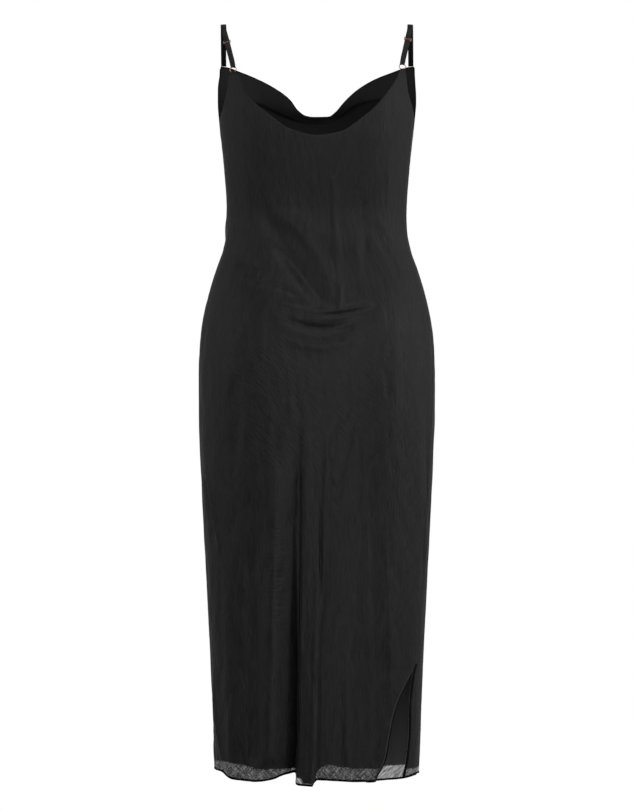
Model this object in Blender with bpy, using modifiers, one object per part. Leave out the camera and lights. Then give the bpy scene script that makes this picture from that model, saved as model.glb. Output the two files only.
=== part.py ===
"""A midi slip dress with a cowl front, a scoop back and adjustable straps, filled out as if worn.

Metres, +Z up. The origin is midway between the tops of the two shoulder straps. The back of the dress
faces -Y, the cowl front faces +Y and the wearer's left is at -X. A place on the cloth is given by its
turn (degrees round from the centre back, 0, through the right side, 90, to the centre front, 180, and on
to the left side, 270 or -90) and its height (millimetres, below the strap tops and so negative).
"""

import math

import bmesh
import bpy
import numpy as np
from mathutils import Matrix, Vector

MM = 0.001

# ---- driving dimensions, in millimetres unless named otherwise ----
CLOTH_WALL = 1.2
LINING_WALL = 1.0
LINING_GAP = 0.4  # between the cloth and its lining
SEAM_GAP = 0.5  # between two panels where they are sewn
LINING_SEAM_INSET = 0.4  # more at each side of a lining's seam, where its walls lean together
YOKE = -300.0  # rows of the mesh run level from here down
ROUNDNESS = 2.35  # exponent of each section: 2 is an ellipse, more is boxier

STRAP_WIDTH = 9.2
STRAP_AT_RING = 8.7
STRAP_WALL = 1.0
STRAP_TOP_ACROSS = 161.0  # from the centre to the middle of each strap, on the shoulder
STRAP_BACK_ACROSS = 159.0  # the same where it leaves the shoulder at the back
CORNER_YAW = 8.0  # degrees that a strap's end faces outwards at the front corner
SHOULDER_RADIUS_BACK = 30.0
SHOULDER_RADIUS_FRONT = 35.0
SHOULDER_DROP_BACK = 51.5  # degrees that the strap slopes down where it leaves the shoulder
SHOULDER_DROP_FRONT = 38.3

RING_RADIUS = 5.4  # to the middle of the wire
RING_WIRE = 0.7  # radius of the wire
RING_LEAN = 18.0  # degrees that the top of a ring leans towards the shoulder
RING_YAW = 8.0  # degrees that a ring faces outwards from straight back
LOOP_CLEARANCE = 0.2  # between the wire and the fabric that passes round it
LOOP_HALF_ARC = 38.0  # degrees of the ring that a fabric loop covers, each side
STRAP_HALF_ARC = 45.0  # the same for the strap
LOOP_WALL = 1.0
LOOP_LEG = 9.0  # length of a fabric loop's leg on the panel
LOOP_HALF_TURN = 1.35  # degrees that a fabric loop's leg covers on the panel, each side of the point
RING_LIFT = 0.35  # more room between a panel's point and the ring's wire

SLIDER_LENGTH = 12.6  # across the strap
SLIDER_BAR = 0.9
SLIDER_SLOT = 2.2
SLIDER_PLATE = 0.9
SLIDER_CORNER = 1.4  # radius of the plate's corners
SLIDER_END = 1.1  # from a slot's end to the plate's end
SLOT_CORNER = 0.5

# Sections of the figure that the dress hangs on, from the shoulder down
SECTIONS = (
    # height, half_width, back, front
    (-30, 200.2, 105.0, 136.0),
    (-60, 194.7, 106.5, 142.0),
    (-85, 184.2, 110.5, 146.0),
    (-115, 175.3, 113.0, 148.5),
    (-150, 170.6, 113.3, 150.5),
    (-187, 166.1, 110.3, 151.5),
    (-225, 161.7, 104.0, 150.0),
    (-265, 158.0, 96.0, 143.0),
    (-300, 155.4, 89.0, 128.0),
    (-330, 154.3, 84.5, 115.0),
    (-355, 155.1, 83.5, 108.0),
    (-387, 161.1, 88.0, 106.5),
    (-421, 172.9, 100.0, 110.0),
    (-456, 183.8, 116.0, 115.0),
    (-490, 192.2, 129.5, 119.0),
    (-525, 198.4, 138.5, 121.5),
    (-560, 201.4, 142.5, 122.5),
    (-600, 202.9, 143.5, 122.5),
    (-660, 202.8, 142.0, 121.5),
    (-730, 200.6, 138.5, 120.0),
    (-800, 197.5, 135.0, 119.0),
    (-870, 194.1, 132.5, 118.0),
    (-940, 190.4, 131.0, 117.5),
    (-1006, 187.1, 130.0, 117.0),
    (-1075, 183.6, 129.0, 117.0),
    (-1144, 180.7, 128.5, 117.5),
    (-1213, 178.2, 128.5, 118.0),
    (-1310, 174.8, 128.5, 118.5),
)

# Top edge of the back: armhole, point at the strap, scoop, point, armhole
BACK_TOP = (
    # turn, height
    (-90.0, -187.0),
    (-84.0, -176.0),
    (-78.9, -163.9),
    (-73.2, -151.3),
    (-67.3, -124.0),
    (-62.4, -93.5),
    (-59.4, -93.5),
    (-58.2, -98.5),
    (-51.5, -134.0),
    (-38.2, -165.7),
    (-22.7, -191.4),
    (-0.4, -201.9),
    (19.4, -196.4),
    (37.7, -169.1),
    (49.0, -140.3),
    (58.8, -101.5),
    (60.7, -88.5),
    (63.3, -88.5),
    (68.4, -124.0),
    (77.0, -152.6),
    (84.0, -170.0),
    (90.0, -187.0),
)

# Top edge of the front: armhole, corner at the strap, cowl, corner, armhole
FRONT_TOP = (
    # turn, height
    (90.0, -187.0),
    (94.0, -150.0),
    (100.4, -121.6),
    (107.6, -97.7),
    (112.3, -78.1),
    (115.5, -61.0),
    (119.5, -60.5),
    (132.1, -68.2),
    (142.8, -78.6),
    (153.3, -95.1),
    (161.3, -114.0),
    (168.1, -133.2),
    (172.1, -139.5),
    (182.3, -140.1),
    (187.1, -138.4),
    (192.5, -129.7),
    (198.3, -110.4),
    (206.0, -95.0),
    (217.7, -78.7),
    (229.7, -66.9),
    (239.9, -60.3),
    (243.7, -60.8),
    (246.9, -77.8),
    (252.4, -97.7),
    (258.9, -121.3),
    (264.5, -150.0),
    (270.0, -187.0),
)

# The right side seam, which opens below -1090 into the slit: where each panel ends
RIGHT_EDGES = (
    # height, back_turn, front_turn
    (-187, 90.0, 90.0),
    (-350, 86.0, 86.0),
    (-600, 77.0, 77.0),
    (-780, 74.5, 74.5),
    (-900, 77.0, 77.0),
    (-1000, 81.5, 81.5),
    (-1040, 82.0, 82.0),
    (-1061, 78.1, 78.1),
    (-1081, 71.8, 71.8),
    (-1095, 68.8, 68.8),
    (-1116, 63.4, 66.1),
    (-1148, 56.4, 64.6),
    (-1174, 53.0, 64.2),
    (-1207, 50.4, 64.2),
    (-1249, 48.0, 62.8),
    (-1287, 41.0, 58.7),
)
LEFT_SEAM = -90.0
SIDE_RADIUS = 175.0  # from the middle to a side seam, about, which turns millimetres into degrees

# How low the cloth and the lining hang, all round
HEMS = (
    # turn, cloth, lining
    (-90.0, -1279.0, -1266.0),
    (-81.0, -1275.5, -1257.5),
    (-74.0, -1274.5, -1254.0),
    (-68.0, -1274.5, -1252.5),
    (-62.0, -1280.5, -1253.0),
    (-54.5, -1284.0, -1256.0),
    (-47.0, -1284.5, -1259.0),
    (-40.0, -1282.5, -1261.0),
    (-30.0, -1277.0, -1259.0),
    (-22.5, -1270.0, -1259.5),
    (-17.0, -1269.5, -1261.5),
    (-15.2, -1284.5, -1272.0),
    (-11.4, -1286.0, -1272.5),
    (-9.6, -1286.0, -1281.0),
    (-3.2, -1286.0, -1281.5),
    (-1.8, -1280.0, -1277.0),
    (0.5, -1276.5, -1260.5),
    (9.0, -1279.5, -1252.5),
    (19.0, -1281.0, -1256.5),
    (31.0, -1281.5, -1259.0),
    (37.0, -1284.5, -1261.0),
    (43.0, -1284.5, -1262.5),
    (50.0, -1281.0, -1263.5),
    (58.7, -1283.0, -1265.0),
    (72.0, -1281.0, -1269.0),
    (80.0, -1281.5, -1270.0),
    (90.0, -1286.0, -1271.0),
    (100.0, -1292.5, -1274.0),
    (110.0, -1303.0, -1280.0),
    (120.0, -1310.0, -1285.0),
    (132.0, -1315.5, -1290.0),
    (142.0, -1318.5, -1290.5),
    (162.0, -1320.0, -1289.0),
    (180.0, -1317.0, -1285.0),
    (190.0, -1313.0, -1281.0),
    (198.0, -1305.0, -1278.0),
    (206.0, -1308.0, -1278.0),
    (217.0, -1314.5, -1284.0),
    (228.0, -1316.5, -1283.0),
    (240.0, -1311.0, -1279.0),
    (246.0, -1304.5, -1276.5),
    (252.0, -1293.5, -1273.0),
    (262.0, -1284.0, -1268.0),
    (270.0, -1279.0, -1266.0),
)

# Soft folds: ridges stand out (depth over 0), troughs go in. Each runs through three places.
FOLDS = (
    # turn_a, height_a, turn_b, height_b, turn_c, height_c, width, depth_a, depth_b, depth_c
    # the cloth that pools at the small of the back
    (-36, -332, -5, -384, 14, -458, 13, 1.5, 7.5, 3),
    (-51, -318, -45, -353, -33, -377, 14, -1, -3.5, -3),
    (-46, -374, -20, -418, 3, -476, 13, -2, -8, -3.5),
    (16, -275, 24, -376, 17, -484, 5, 0.8, 2.4, 3.8),
    (-23, -488, 5, -497, 37, -482, 5, 1, 3.2, 1),
    (-27, -504, -1, -527, 25, -517, 8.5, -1, -7, -1),
    (-27, -531, -2, -555, 22, -546, 9, 0.6, 2.4, 0.6),
    (-62, -412, -52, -421, -42, -430, 8, -1, -3, -1),
    # the creases of the back skirt
    (-78, -778, -73, -815, -68, -895, 7, -1.5, -4.5, -0.5),
    (-58, -860, -59, -1040, -59, -1280, 12, 0.5, 3, 5),
    (-41, -812, -45, -1013, -49, -1280, 14, -0.5, -3, -4),
    (-23, -762, -28, -912, -34, -1280, 15, 1, 3, 4),
    (24, -820, 26, -1000, 27, -1282, 16, 0.5, 3, 5),
    (37, -812, 41, -1047, 44, -1280, 11, -0.3, -3, -5),
    (61, -654, 66, -780, 70, -880, 15, 1, 4, 1),
    # hip to hem on the front, and the creases under the bust
    (205, -520, 200, -850, 197, -1300, 24, 1, 9, 17),
    (188, -640, 184, -900, 182, -1300, 22, -1, -8, -15),
    (160, -500, 165, -860, 167, -1300, 26, 1, 8, 15),
    (228, -600, 222, -900, 219, -1300, 22, -1, -7, -12),
    (146, -620, 148, -900, 149, -1300, 22, -1, -7, -12),
    (247, -700, 244, -950, 243, -1290, 20, 0, 5, 8),
    (124, -700, 128, -950, 129, -1300, 20, 0, 5, 8),
    (215, -300, 196, -352, 180, -372, 14, 1, 4, 1),
    (138, -318, 158, -362, 176, -398, 14, 1, 4, 1),
    (222, -352, 202, -396, 184, -420, 13, -1, -4, -1),
    # the cowl's first crease, a bend and the hollow under it
    (216, -124, 182, -151, 150, -121, 11, 3, 8, 3),
    (214, -162, 182, -186, 152, -160, 15, -2, -6, -2),
    # from each side seam at the waist
    (272, -330, 262, -360, 250, -382, 12, 1, 4, 1),
    (100, -340, 110, -366, 122, -386, 12, 1, 4, 1),
)
FOLD_STEPS = 24  # places at which a fold's line is followed

# The deep drape fold of the back skirt, across its width at the hem
DRAPE_PROFILE = (
    # across, push
    (-78, 0.0),
    (-58, 5.0),
    (-42, 4.0),
    (-32, -1.0),
    (-25, -10.0),
    (-20, -21.0),
    (-16.6, -24.0),
    (-14.6, -20.0),
    (-13, 2.0),
    (-11, 10.0),
    (-5, 14.5),
    (3, 18.5),
    (9, 22.0),
    (12.5, 22.0),
    (16, 15.5),
    (19.5, 8.0),
    (24, 4.0),
    (34, 1.5),
    (50, 0.0),
)
DRAPE_GROWTH = (
    # height, centre, width_scale, share
    (-1310, -20.0, 1.26, 1.00),
    (-1283, -19.3, 1.25, 0.97),
    (-1211, -15.3, 1.17, 0.88),
    (-1061, -13.4, 1.16, 0.66),
    (-978, -11.1, 1.32, 0.48),
    (-878, -8.4, 1.60, 0.28),
    (-790, -5.6, 1.76, 0.12),
    (-720, -5.0, 1.82, 0.00),
)

# The cowl's swags, by their share of the way from the top edge to the yoke
COWL_SWAGS = (
    # share of the way from the top edge to the yoke, width, push
    (0.42, 0.09, 13.0),
    (0.56, 0.07, -2.0),
    (0.70, 0.11, 9.0),
)
COWL_HALF_TURN = 62.0  # degrees each side of the centre front that the swags reach

# Columns of the back's mesh: left of the drape fold, across it, and right of it
BACK_LEFT_COLUMNS = (-90, -82, -75, -68, -62.4, -59.4, -53, -46, -38, -31)  # turns at the top edge
DRAPE_COLUMNS = (-66, -50, -40, -32, -26, -21.5, -18, -15.6, -13.2, -10.5, -4, 3, 9, 13, 16.5, 20, 27, 44)
DRAPE_COLUMNS_TOP = (-25.0, 19.0)  # turns at the top edge of the first and last of them
BACK_RIGHT_COLUMNS = (25, 31, 37, 43, 49, 55, 60.7, 63.3, 68.4, 75, 82, 90)

# Columns of the front's mesh: beside the slit, then on the ridges and troughs of its skirt
FRONT_EDGE_COLUMNS = (90, 98, 107.6)  # turns at the top edge
FRONT_COLUMNS = (
    # top_turn, hem_turn
    (115.5, 100.0),
    (119.5, 108.0),
    (127.0, 118.0),
    (134.0, 129.0),
    (141.0, 139.0),
    (148.0, 149.0),
    (155.0, 158.0),
    (162.0, 167.0),
    (169.0, 174.5),
    (176.0, 182.0),
    (183.0, 189.5),
    (190.0, 197.0),
    (197.0, 204.0),
    (204.0, 211.0),
    (211.0, 219.0),
    (218.0, 227.0),
    (225.0, 235.0),
    (232.5, 243.0),
    (239.9, 249.0),
    (243.7, 254.0),
    (252.4, 259.0),
    (261.0, 264.5),
    (270.0, 270.0),
)
TOP_ROWS = (0.0, 0.1, 0.2, 0.3, 0.41, 0.53, 0.67, 0.83)  # share of the way down to the yoke
SKIRT_ROWS = (-300, -340, -378, -412, -442, -470, -497, -526, -551, -600, -705, -810, -910, -1000,
              -1045, -1070, -1095, -1160, -1215)
WAVE_START = -1095.0  # the rows below here take on the hems' wave
LINING_HEM = -1262.0  # the level that the lining's wave lies about
FIRST_GATHER, LAST_GATHER = -540.0, -720.0  # where the columns move over to the folds

CLOTH_BLACK = (0.018, 0.018, 0.019, 1.0)
LINING_BLACK = (0.010, 0.010, 0.011, 1.0)
ROSE_GOLD = (0.78, 0.45, 0.37, 1.0)


def column(table, index):
    return np.array([row[index] for row in table], float)


def smooth(places, values, at):
    """A curve through the values that never overshoots them (monotone cubic), level past its ends."""
    if places[0] > places[-1]:
        places, values = places[::-1], values[::-1]
    step = np.diff(places)
    rise = np.diff(values) / step
    slope = np.concatenate([rise[:1], np.zeros(len(rise) - 1), rise[-1:]])
    inner = rise[:-1] * rise[1:] > 0
    near, far = 2 * step[1:] + step[:-1], step[1:] + 2 * step[:-1]
    before = np.where(inner, rise[:-1], 1.0)
    after = np.where(inner, rise[1:], 1.0)
    slope[1:-1] = np.where(inner, (near + far) / (near / before + far / after), 0.0)
    at = np.clip(at, places[0], places[-1])
    i = np.clip(np.searchsorted(places, at) - 1, 0, len(step) - 1)
    t = (at - places[i]) / step[i]
    start = values[i] + (values[i + 1] - values[i]) * t * t * (3 - 2 * t)
    return start + step[i] * t * (1 - t) * ((1 - t) * slope[i] - t * slope[i + 1])


def follow(table, index, at):
    return smooth(column(table, 0), column(table, index), at)


# ---------------------------------------------------------------- the form of the cloth, in millimetres


def figure(turn, height):
    """Points of the plain figure at these turns and heights."""
    half_width = follow(SECTIONS, 1, height)
    angle = np.radians(turn)
    right, forward = np.sin(angle), -np.cos(angle)
    depth = np.where(forward < 0, follow(SECTIONS, 2, height), follow(SECTIONS, 3, height))
    share = np.abs(right / half_width) ** ROUNDNESS + np.abs(forward / depth) ** ROUNDNESS
    radius = share ** (-1 / ROUNDNESS)
    return np.stack([radius * right, radius * forward, height + 0 * radius], -1)


def level_outward(turn, height):
    """Unit vectors that point out of the figure, level."""
    along = figure(turn + 0.5, height) - figure(turn - 0.5, height)
    out = np.stack([along[..., 1], -along[..., 0], 0 * along[..., 2]], -1)
    return out / np.linalg.norm(out, axis=-1, keepdims=True)


def nearest_on(line, here):
    """How far each place is from a line of points, and the number of the point it is nearest to."""
    start, step = line[:-1], np.diff(line, axis=0)
    offset = here[..., None, :] - start
    share = np.clip((offset * step).sum(-1) / (step * step).sum(-1), 0, 1)
    distance = np.linalg.norm(offset - share[..., None] * step, axis=-1)
    nearest = distance.argmin(-1)[..., None]
    along = nearest + np.take_along_axis(share, nearest, -1)
    return distance.min(-1), along[..., 0]


def fold_push(turn, height):
    """How far the soft folds move the cloth out."""
    here = figure(turn, height)
    push = np.zeros(here.shape[:-1])
    t = np.linspace(0, 1, FOLD_STEPS)
    weights = np.stack([(1 - t) * (1 - 2 * t), 4 * t * (1 - t), t * (2 * t - 1)])
    for row in FOLDS:
        turns = np.array(row[0:6:2], float) @ weights
        heights = np.array(row[1:6:2], float) @ weights
        depths = np.array(row[7:10], float) @ weights
        distance, along = nearest_on(figure(turns, heights), here)
        depth = np.interp(along, np.arange(FOLD_STEPS), depths)
        push += depth * np.exp(-((distance / row[6]) ** 2))
    return push


def drape_push(turn, height):
    """The deep fold of the back skirt, a tube of cloth beside a trough, growing towards the hem."""
    across = figure(turn, height)[..., 0] - follow(DRAPE_GROWTH, 1, height)
    push = follow(DRAPE_PROFILE, 1, across / follow(DRAPE_GROWTH, 2, height))
    behind = np.cos(np.radians(turn)) > 0
    return np.where(behind, push * follow(DRAPE_GROWTH, 3, height), 0.0)


def top_edge(turn):
    """Height of the dress's top edge at each turn."""
    return np.where(turn > 90, follow(FRONT_TOP, 1, turn), follow(BACK_TOP, 1, turn))


def cowl_push(turn, height):
    """The cowl's swags, which hang between the two front corners."""
    top = top_edge(turn)
    share = (top - height) / (top - YOKE)
    off_centre = np.clip(np.abs(turn - 180.0) / COWL_HALF_TURN, 0, 1)
    swell = np.cos(off_centre * math.pi / 2) ** 2
    push = sum(depth * np.exp(-(((share - place) / width) ** 2)) for place, width, depth in COWL_SWAGS)
    return push * swell


def cloth(turn, height):
    """Points of the cloth's outer face."""
    turn, height = np.broadcast_arrays(np.asarray(turn, float), np.asarray(height, float))
    push = fold_push(turn, height) + drape_push(turn, height) + cowl_push(turn, height)
    return figure(turn, height) + level_outward(turn, height) * push[..., None]


def cloth_outward(turn, height):
    """Unit normals of the cloth's outer face."""
    step = 1.0
    along = cloth(turn + step / 3, height) - cloth(turn - step / 3, height)
    upward = cloth(turn, height + step) - cloth(turn, height - step)
    normal = np.cross(along, upward)
    return normal / np.linalg.norm(normal, axis=-1, keepdims=True)


# ---------------------------------------------------------------- the mesh of each panel


def row_heights(top_turns, hem_turns):
    """Heights of each column's rows, from the top edge to the hems of the lining and the cloth."""
    top = top_edge(top_turns)
    rows = [top + (YOKE - top) * share for share in TOP_ROWS]
    lining_hem = follow(HEMS, 2, hem_turns)
    for level in SKIRT_ROWS:
        wave = max(0.0, (WAVE_START - level) / (WAVE_START - LINING_HEM))
        rows.append(level + (lining_hem - LINING_HEM) * wave)
    return np.array(rows + [lining_hem, follow(HEMS, 1, hem_turns)])


def turn_at(across, height):
    """The turn of a place on the figure's back that lies this far across."""
    half_width = follow(SECTIONS, 1, height)
    back = follow(SECTIONS, 2, height)
    forward = back * (1 - np.abs(across / half_width) ** ROUNDNESS) ** (1 / ROUNDNESS)
    return np.degrees(np.arctan2(across, forward))


def gathered(height):
    """How far the columns have moved over to the folds, from 0 at the hips to 1 below them."""
    share = np.clip((FIRST_GATHER - height) / (FIRST_GATHER - LAST_GATHER), 0, 1)
    return share * share * (3 - 2 * share)


def back_columns(heights):
    """Turns of the back's vertices. The columns keep to the drape fold all the way down."""
    first = len(BACK_LEFT_COLUMNS)
    last = first + len(DRAPE_COLUMNS)
    inset = np.degrees(SEAM_GAP / 2 / SIDE_RADIUS)
    z = heights[:, first:last]
    turns = np.empty(heights.shape)
    top = np.linspace(*DRAPE_COLUMNS_TOP, len(DRAPE_COLUMNS))
    scale = follow(DRAPE_GROWTH, 2, z)
    fold = turn_at(follow(DRAPE_GROWTH, 1, z) + np.array(DRAPE_COLUMNS, float) * scale, z)
    turns[:, first:last] = top + (fold - top) * gathered(z)
    left = np.array(BACK_LEFT_COLUMNS, float)
    share = (left + 90) / (top[0] + 90)
    seam = LEFT_SEAM + inset
    turns[:, :first] = seam + (turns[:, first : first + 1] - seam) * share
    right = np.array(BACK_RIGHT_COLUMNS, float)
    share = (right - top[-1]) / (90 - top[-1])
    edge = follow(RIGHT_EDGES, 1, heights[:, last:]) - inset
    start = turns[:, last - 1 : last]
    turns[:, last:] = start + (edge - start) * share
    return turns


def front_columns(heights):
    """Turns of the front's vertices, whose columns keep to the ridges and troughs of its skirt."""
    first = len(FRONT_EDGE_COLUMNS)
    inset = np.degrees(SEAM_GAP / 2 / SIDE_RADIUS)
    turns = np.empty(heights.shape)
    top, hem = column(FRONT_COLUMNS, 0), column(FRONT_COLUMNS, 1)
    turns[:, first:] = top + (hem - top) * gathered(heights[:, first:])
    turns[:, -1] = 270 - inset
    share = (np.array(FRONT_EDGE_COLUMNS, float) - 90) / (top[0] - 90)
    edge = follow(RIGHT_EDGES, 2, heights[:, :first]) + inset
    turns[:, :first] = edge + (turns[:, first : first + 1] - edge) * share
    return turns


def panel_grid(front):
    """Turns and heights of a panel's vertices, a row of the array for each row of the mesh."""
    if front:
        top_turns = np.concatenate([FRONT_EDGE_COLUMNS, column(FRONT_COLUMNS, 0)])
    else:
        drape = np.linspace(*DRAPE_COLUMNS_TOP, len(DRAPE_COLUMNS))
        top_turns = np.concatenate([BACK_LEFT_COLUMNS, drape, BACK_RIGHT_COLUMNS])
    hem_turns = top_turns
    for _ in range(4):
        heights = row_heights(top_turns, hem_turns)
        turns = front_columns(heights) if front else back_columns(heights)
        hem_turns = turns[-1]
    return turns, heights


def open_surface(points):
    """A surface of triangles through rows of points, from top to bottom, and its rows of vertices."""
    rows, columns = points.shape[:2]
    bm = bmesh.new()
    bmesh.ops.create_grid(bm, x_segments=columns - 1, y_segments=rows - 1, size=1)
    grid = [[None] * columns for _ in range(rows)]
    for vertex in bm.verts:
        i = round((vertex.co.x + 1) / 2 * (columns - 1))
        j = round((1 - vertex.co.y) / 2 * (rows - 1))
        vertex.co = Vector(points[j, i] * MM)
        grid[j][i] = vertex
    bmesh.ops.triangulate(bm, faces=bm.faces, quad_method="SHORT_EDGE")
    bm.normal_update()
    return bm, grid


def walled(name, bm, wall, offset, material):
    """An object from an open surface, given its wall by Solidify."""
    mesh = bpy.data.meshes.new(name)
    bm.to_mesh(mesh)
    bm.free()
    mesh.materials.append(material)
    mesh.shade_smooth()
    piece = bpy.data.objects.new(name, mesh)
    parts.objects.link(piece)
    solidify = piece.modifiers.new("wall", "SOLIDIFY")
    solidify.thickness = wall * MM
    solidify.offset = offset
    return piece


def panel(name, front, material):
    turns, heights = panel_grid(front)
    bm, _ = open_surface(cloth(turns, heights))
    return walled(name, bm, CLOTH_WALL, -1, material)


def lining_panel(name, front, material):
    """The cloth's own surface moved in past the cloth's wall, without its last row."""
    turns, heights = panel_grid(front)
    bm, grid = open_surface(cloth(turns, heights))
    for vertex in bm.verts:
        vertex.co -= vertex.normal * (CLOTH_WALL + LINING_GAP) * MM
    for row in grid:
        for end, beside in ((row[0], row[1]), (row[-1], row[-2])):
            end.co += (beside.co - end.co).normalized() * LINING_SEAM_INSET * MM
    bmesh.ops.delete(bm, geom=grid[-1], context="VERTS")
    return walled(name, bm, LINING_WALL, -1, material)


# ---------------------------------------------------------------- straps, rings, loops and sliders


class Side:
    """The places that one strap's pieces share. sign is -1 on the wearer's left and 1 on the right."""

    def __init__(self, sign, point_turn, corner_turn, corner_across, slider_down_strap):
        self.sign = sign
        self.slider_down_strap = slider_down_strap
        self.point_turn = point_turn
        self.corner_turn = corner_turn
        stack = CLOTH_WALL + LINING_GAP + LINING_WALL
        turn = np.array([point_turn])
        self.point_height = top_edge(turn)[0]
        out = cloth_outward(turn, np.array([self.point_height]))[0]
        middle = cloth(turn, np.array([self.point_height]))[0] - out * stack / 2
        corner = np.array([corner_turn])
        corner_height = top_edge(corner)[0]
        corner_out = cloth_outward(corner, np.array([corner_height]))[0]
        self.corner = cloth(corner, np.array([corner_height]))[0] - corner_out * stack / 2
        self.corner[0] = corner_across * sign
        yaw, lean = math.radians(RING_YAW), math.radians(RING_LEAN)
        self.ring_across = np.array([math.cos(yaw), sign * math.sin(yaw), 0.0])
        level = np.array([sign * math.sin(yaw), -math.cos(yaw), 0.0])
        self.ring_up = np.array([0, 0, math.cos(lean)]) - level * math.sin(lean)
        self.ring_out = np.cross(self.ring_across, self.ring_up)
        lift = RING_WIRE + LOOP_CLEARANCE + RING_LIFT
        self.ring_centre = middle + np.array([0, 0, lift]) + self.ring_up * RING_RADIUS

    def round_wire(self, arc, around, upwards):
        """A place round the ring's wire: arc degrees along the ring from its top or bottom, and around
        degrees round the wire from its outer side through the inside of the ring."""
        arc, around = math.radians(arc), math.radians(around)
        direction = self.ring_up * (1 if upwards else -1)
        radial = direction * math.cos(arc) + self.ring_across * math.sin(arc)
        reach = RING_WIRE + LOOP_CLEARANCE + LOOP_WALL / 2
        place = self.ring_centre + radial * (RING_RADIUS - reach * math.sin(around))
        return place + self.ring_out * reach * math.cos(around)

    def round_wire_row(self, around, upwards, half_arc):
        arcs = np.linspace(-half_arc, half_arc, RIBBON_COLUMNS)
        return [self.round_wire(arc, around, upwards) for arc in arcs]


RIBBON_COLUMNS = 5
LOOP_TURNS = (0, 30, 60, 90, 120, 150, 180)  # degrees round the wire


def ribbon_row(middle, across, width):
    """A row of points across a ribbon."""
    across = across / np.linalg.norm(across)
    return [middle + across * width * share for share in np.linspace(-0.5, 0.5, RIBBON_COLUMNS)]


def shoulder_line(side):
    """The middle of the strap, from the front corner over the shoulder to where it leaves the shoulder."""
    front_drop = math.radians(SHOULDER_DROP_FRONT)
    back_drop = math.radians(SHOULDER_DROP_BACK)
    line = [side.corner + np.array([0, 0, 2.5 * SEAM_GAP])]
    for angle in np.linspace(front_drop, 0, 5):
        line.append(np.array([0, SHOULDER_RADIUS_FRONT * math.sin(angle),
                              -SHOULDER_RADIUS_FRONT * (1 - math.cos(angle))]))
    for angle in np.linspace(0, back_drop, 5)[1:]:
        line.append(np.array([0, -SHOULDER_RADIUS_BACK * math.sin(angle),
                              -SHOULDER_RADIUS_BACK * (1 - math.cos(angle))]))
    for place in line[1:]:
        if place[1] > 0:
            across = STRAP_TOP_ACROSS + (abs(line[0][0]) - STRAP_TOP_ACROSS) * place[1] / line[0][1]
        else:
            across = STRAP_TOP_ACROSS + (STRAP_BACK_ACROSS - STRAP_TOP_ACROSS) * place[1] / line[-1][1]
        place[0] = across * side.sign
    return line


def strap(side, name, material):
    """One strap: front corner, shoulder, slider, ring, and back up inside to the slider."""
    line = shoulder_line(side)
    yaw = math.radians(CORNER_YAW)
    corner_across = np.array([math.cos(yaw), -side.sign * math.sin(yaw), 0])
    level = np.array([1.0, 0, 0])
    start = line[-1]
    ring_top = side.ring_centre + side.ring_up * RING_RADIUS
    run = ring_top - start
    length = np.linalg.norm(run)
    down = run / length
    across = side.ring_across - down * np.dot(side.ring_across, down)
    across /= np.linalg.norm(across)
    out = np.cross(down, across)
    out *= np.sign(-out[1])  # away from the body, which at the back is towards -Y
    side.slider_centre = start + down * side.slider_down_strap
    side.slider_axes = (across, down, out)
    rows = []
    for i, place in enumerate(line):
        share = i / (len(line) - 1)
        if share < 0.5:
            direction = corner_across + (level - corner_across) * min(share * 3, 1)
        else:
            direction = level + (across - level) * (share * 2 - 1)
        rows.append(ribbon_row(place, direction, STRAP_WIDTH))
    over = SLIDER_PLATE / 2 + LOOP_CLEARANCE + STRAP_WALL / 2
    pitch = SLIDER_BAR + SLIDER_SLOT
    for place, lift in ((-pitch - 3.5, 0), (-pitch - 0.55, over), (-pitch + 0.6, over), (-0.8, -over),
                        (0.8, -over), (pitch - 0.6, over), (pitch + 0.55, over), (pitch + 3.5, 0)):
        rows.append(ribbon_row(side.slider_centre + down * place + out * lift, across, STRAP_WIDTH))
    reach = RING_WIRE + LOOP_CLEARANCE + STRAP_WALL / 2
    for left in (22.0, 9.0):
        lift = reach * (1 - left / 30)
        width = STRAP_AT_RING + (STRAP_WIDTH - STRAP_AT_RING) * left / 30
        rows.append(ribbon_row(ring_top - down * left + out * lift, across, width))
    for around in LOOP_TURNS:
        rows.append(side.round_wire_row(around, True, STRAP_HALF_ARC))
    for left in (9.0, 22.0):
        lift = -0.9 if left > 10 else -1.4
        rows.append(ribbon_row(ring_top - down * left + out * lift, across, STRAP_AT_RING))
    behind = -(over + STRAP_WALL + LOOP_CLEARANCE)
    for place in (pitch + 3.5, pitch + 0.55, -pitch - 0.5):
        lift = behind + (0.9 if place > pitch + 1 else 0)
        rows.append(ribbon_row(side.slider_centre + down * place + out * lift, across, STRAP_AT_RING))
    bm, _ = open_surface(np.array(rows))
    return walled(name, bm, STRAP_WALL, 0, material)


def fabric_loop(side, name, material):
    """The loop that holds a ring: one leg on the cloth, one on the lining, the bend round the wire."""
    rows = []
    stack = CLOTH_WALL + LINING_GAP + LINING_WALL
    turns = side.point_turn + np.linspace(-LOOP_HALF_TURN, LOOP_HALF_TURN, RIBBON_COLUMNS)
    clear = SEAM_GAP + LOOP_WALL / 2

    def leg_row(below, offset):
        heights = np.full(RIBBON_COLUMNS, side.point_height - below)
        return list(cloth(turns, heights) + cloth_outward(turns, heights) * offset)

    for below in (LOOP_LEG, LOOP_LEG / 2, 0.0):
        rows.append(leg_row(below, clear))
    for around in LOOP_TURNS:
        rows.append(side.round_wire_row(around, False, LOOP_HALF_ARC))
    for below in (0.0, LOOP_LEG / 2, LOOP_LEG):
        rows.append(leg_row(below, -stack - clear))
    bm, _ = open_surface(np.array(rows))
    return walled(name, bm, LOOP_WALL, 0, material)


def frame_matrix(origin, x_axis, y_axis, z_axis):
    matrix = Matrix((x_axis, y_axis, z_axis)).transposed().to_4x4()
    matrix.translation = Vector(origin * MM)
    return matrix


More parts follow.
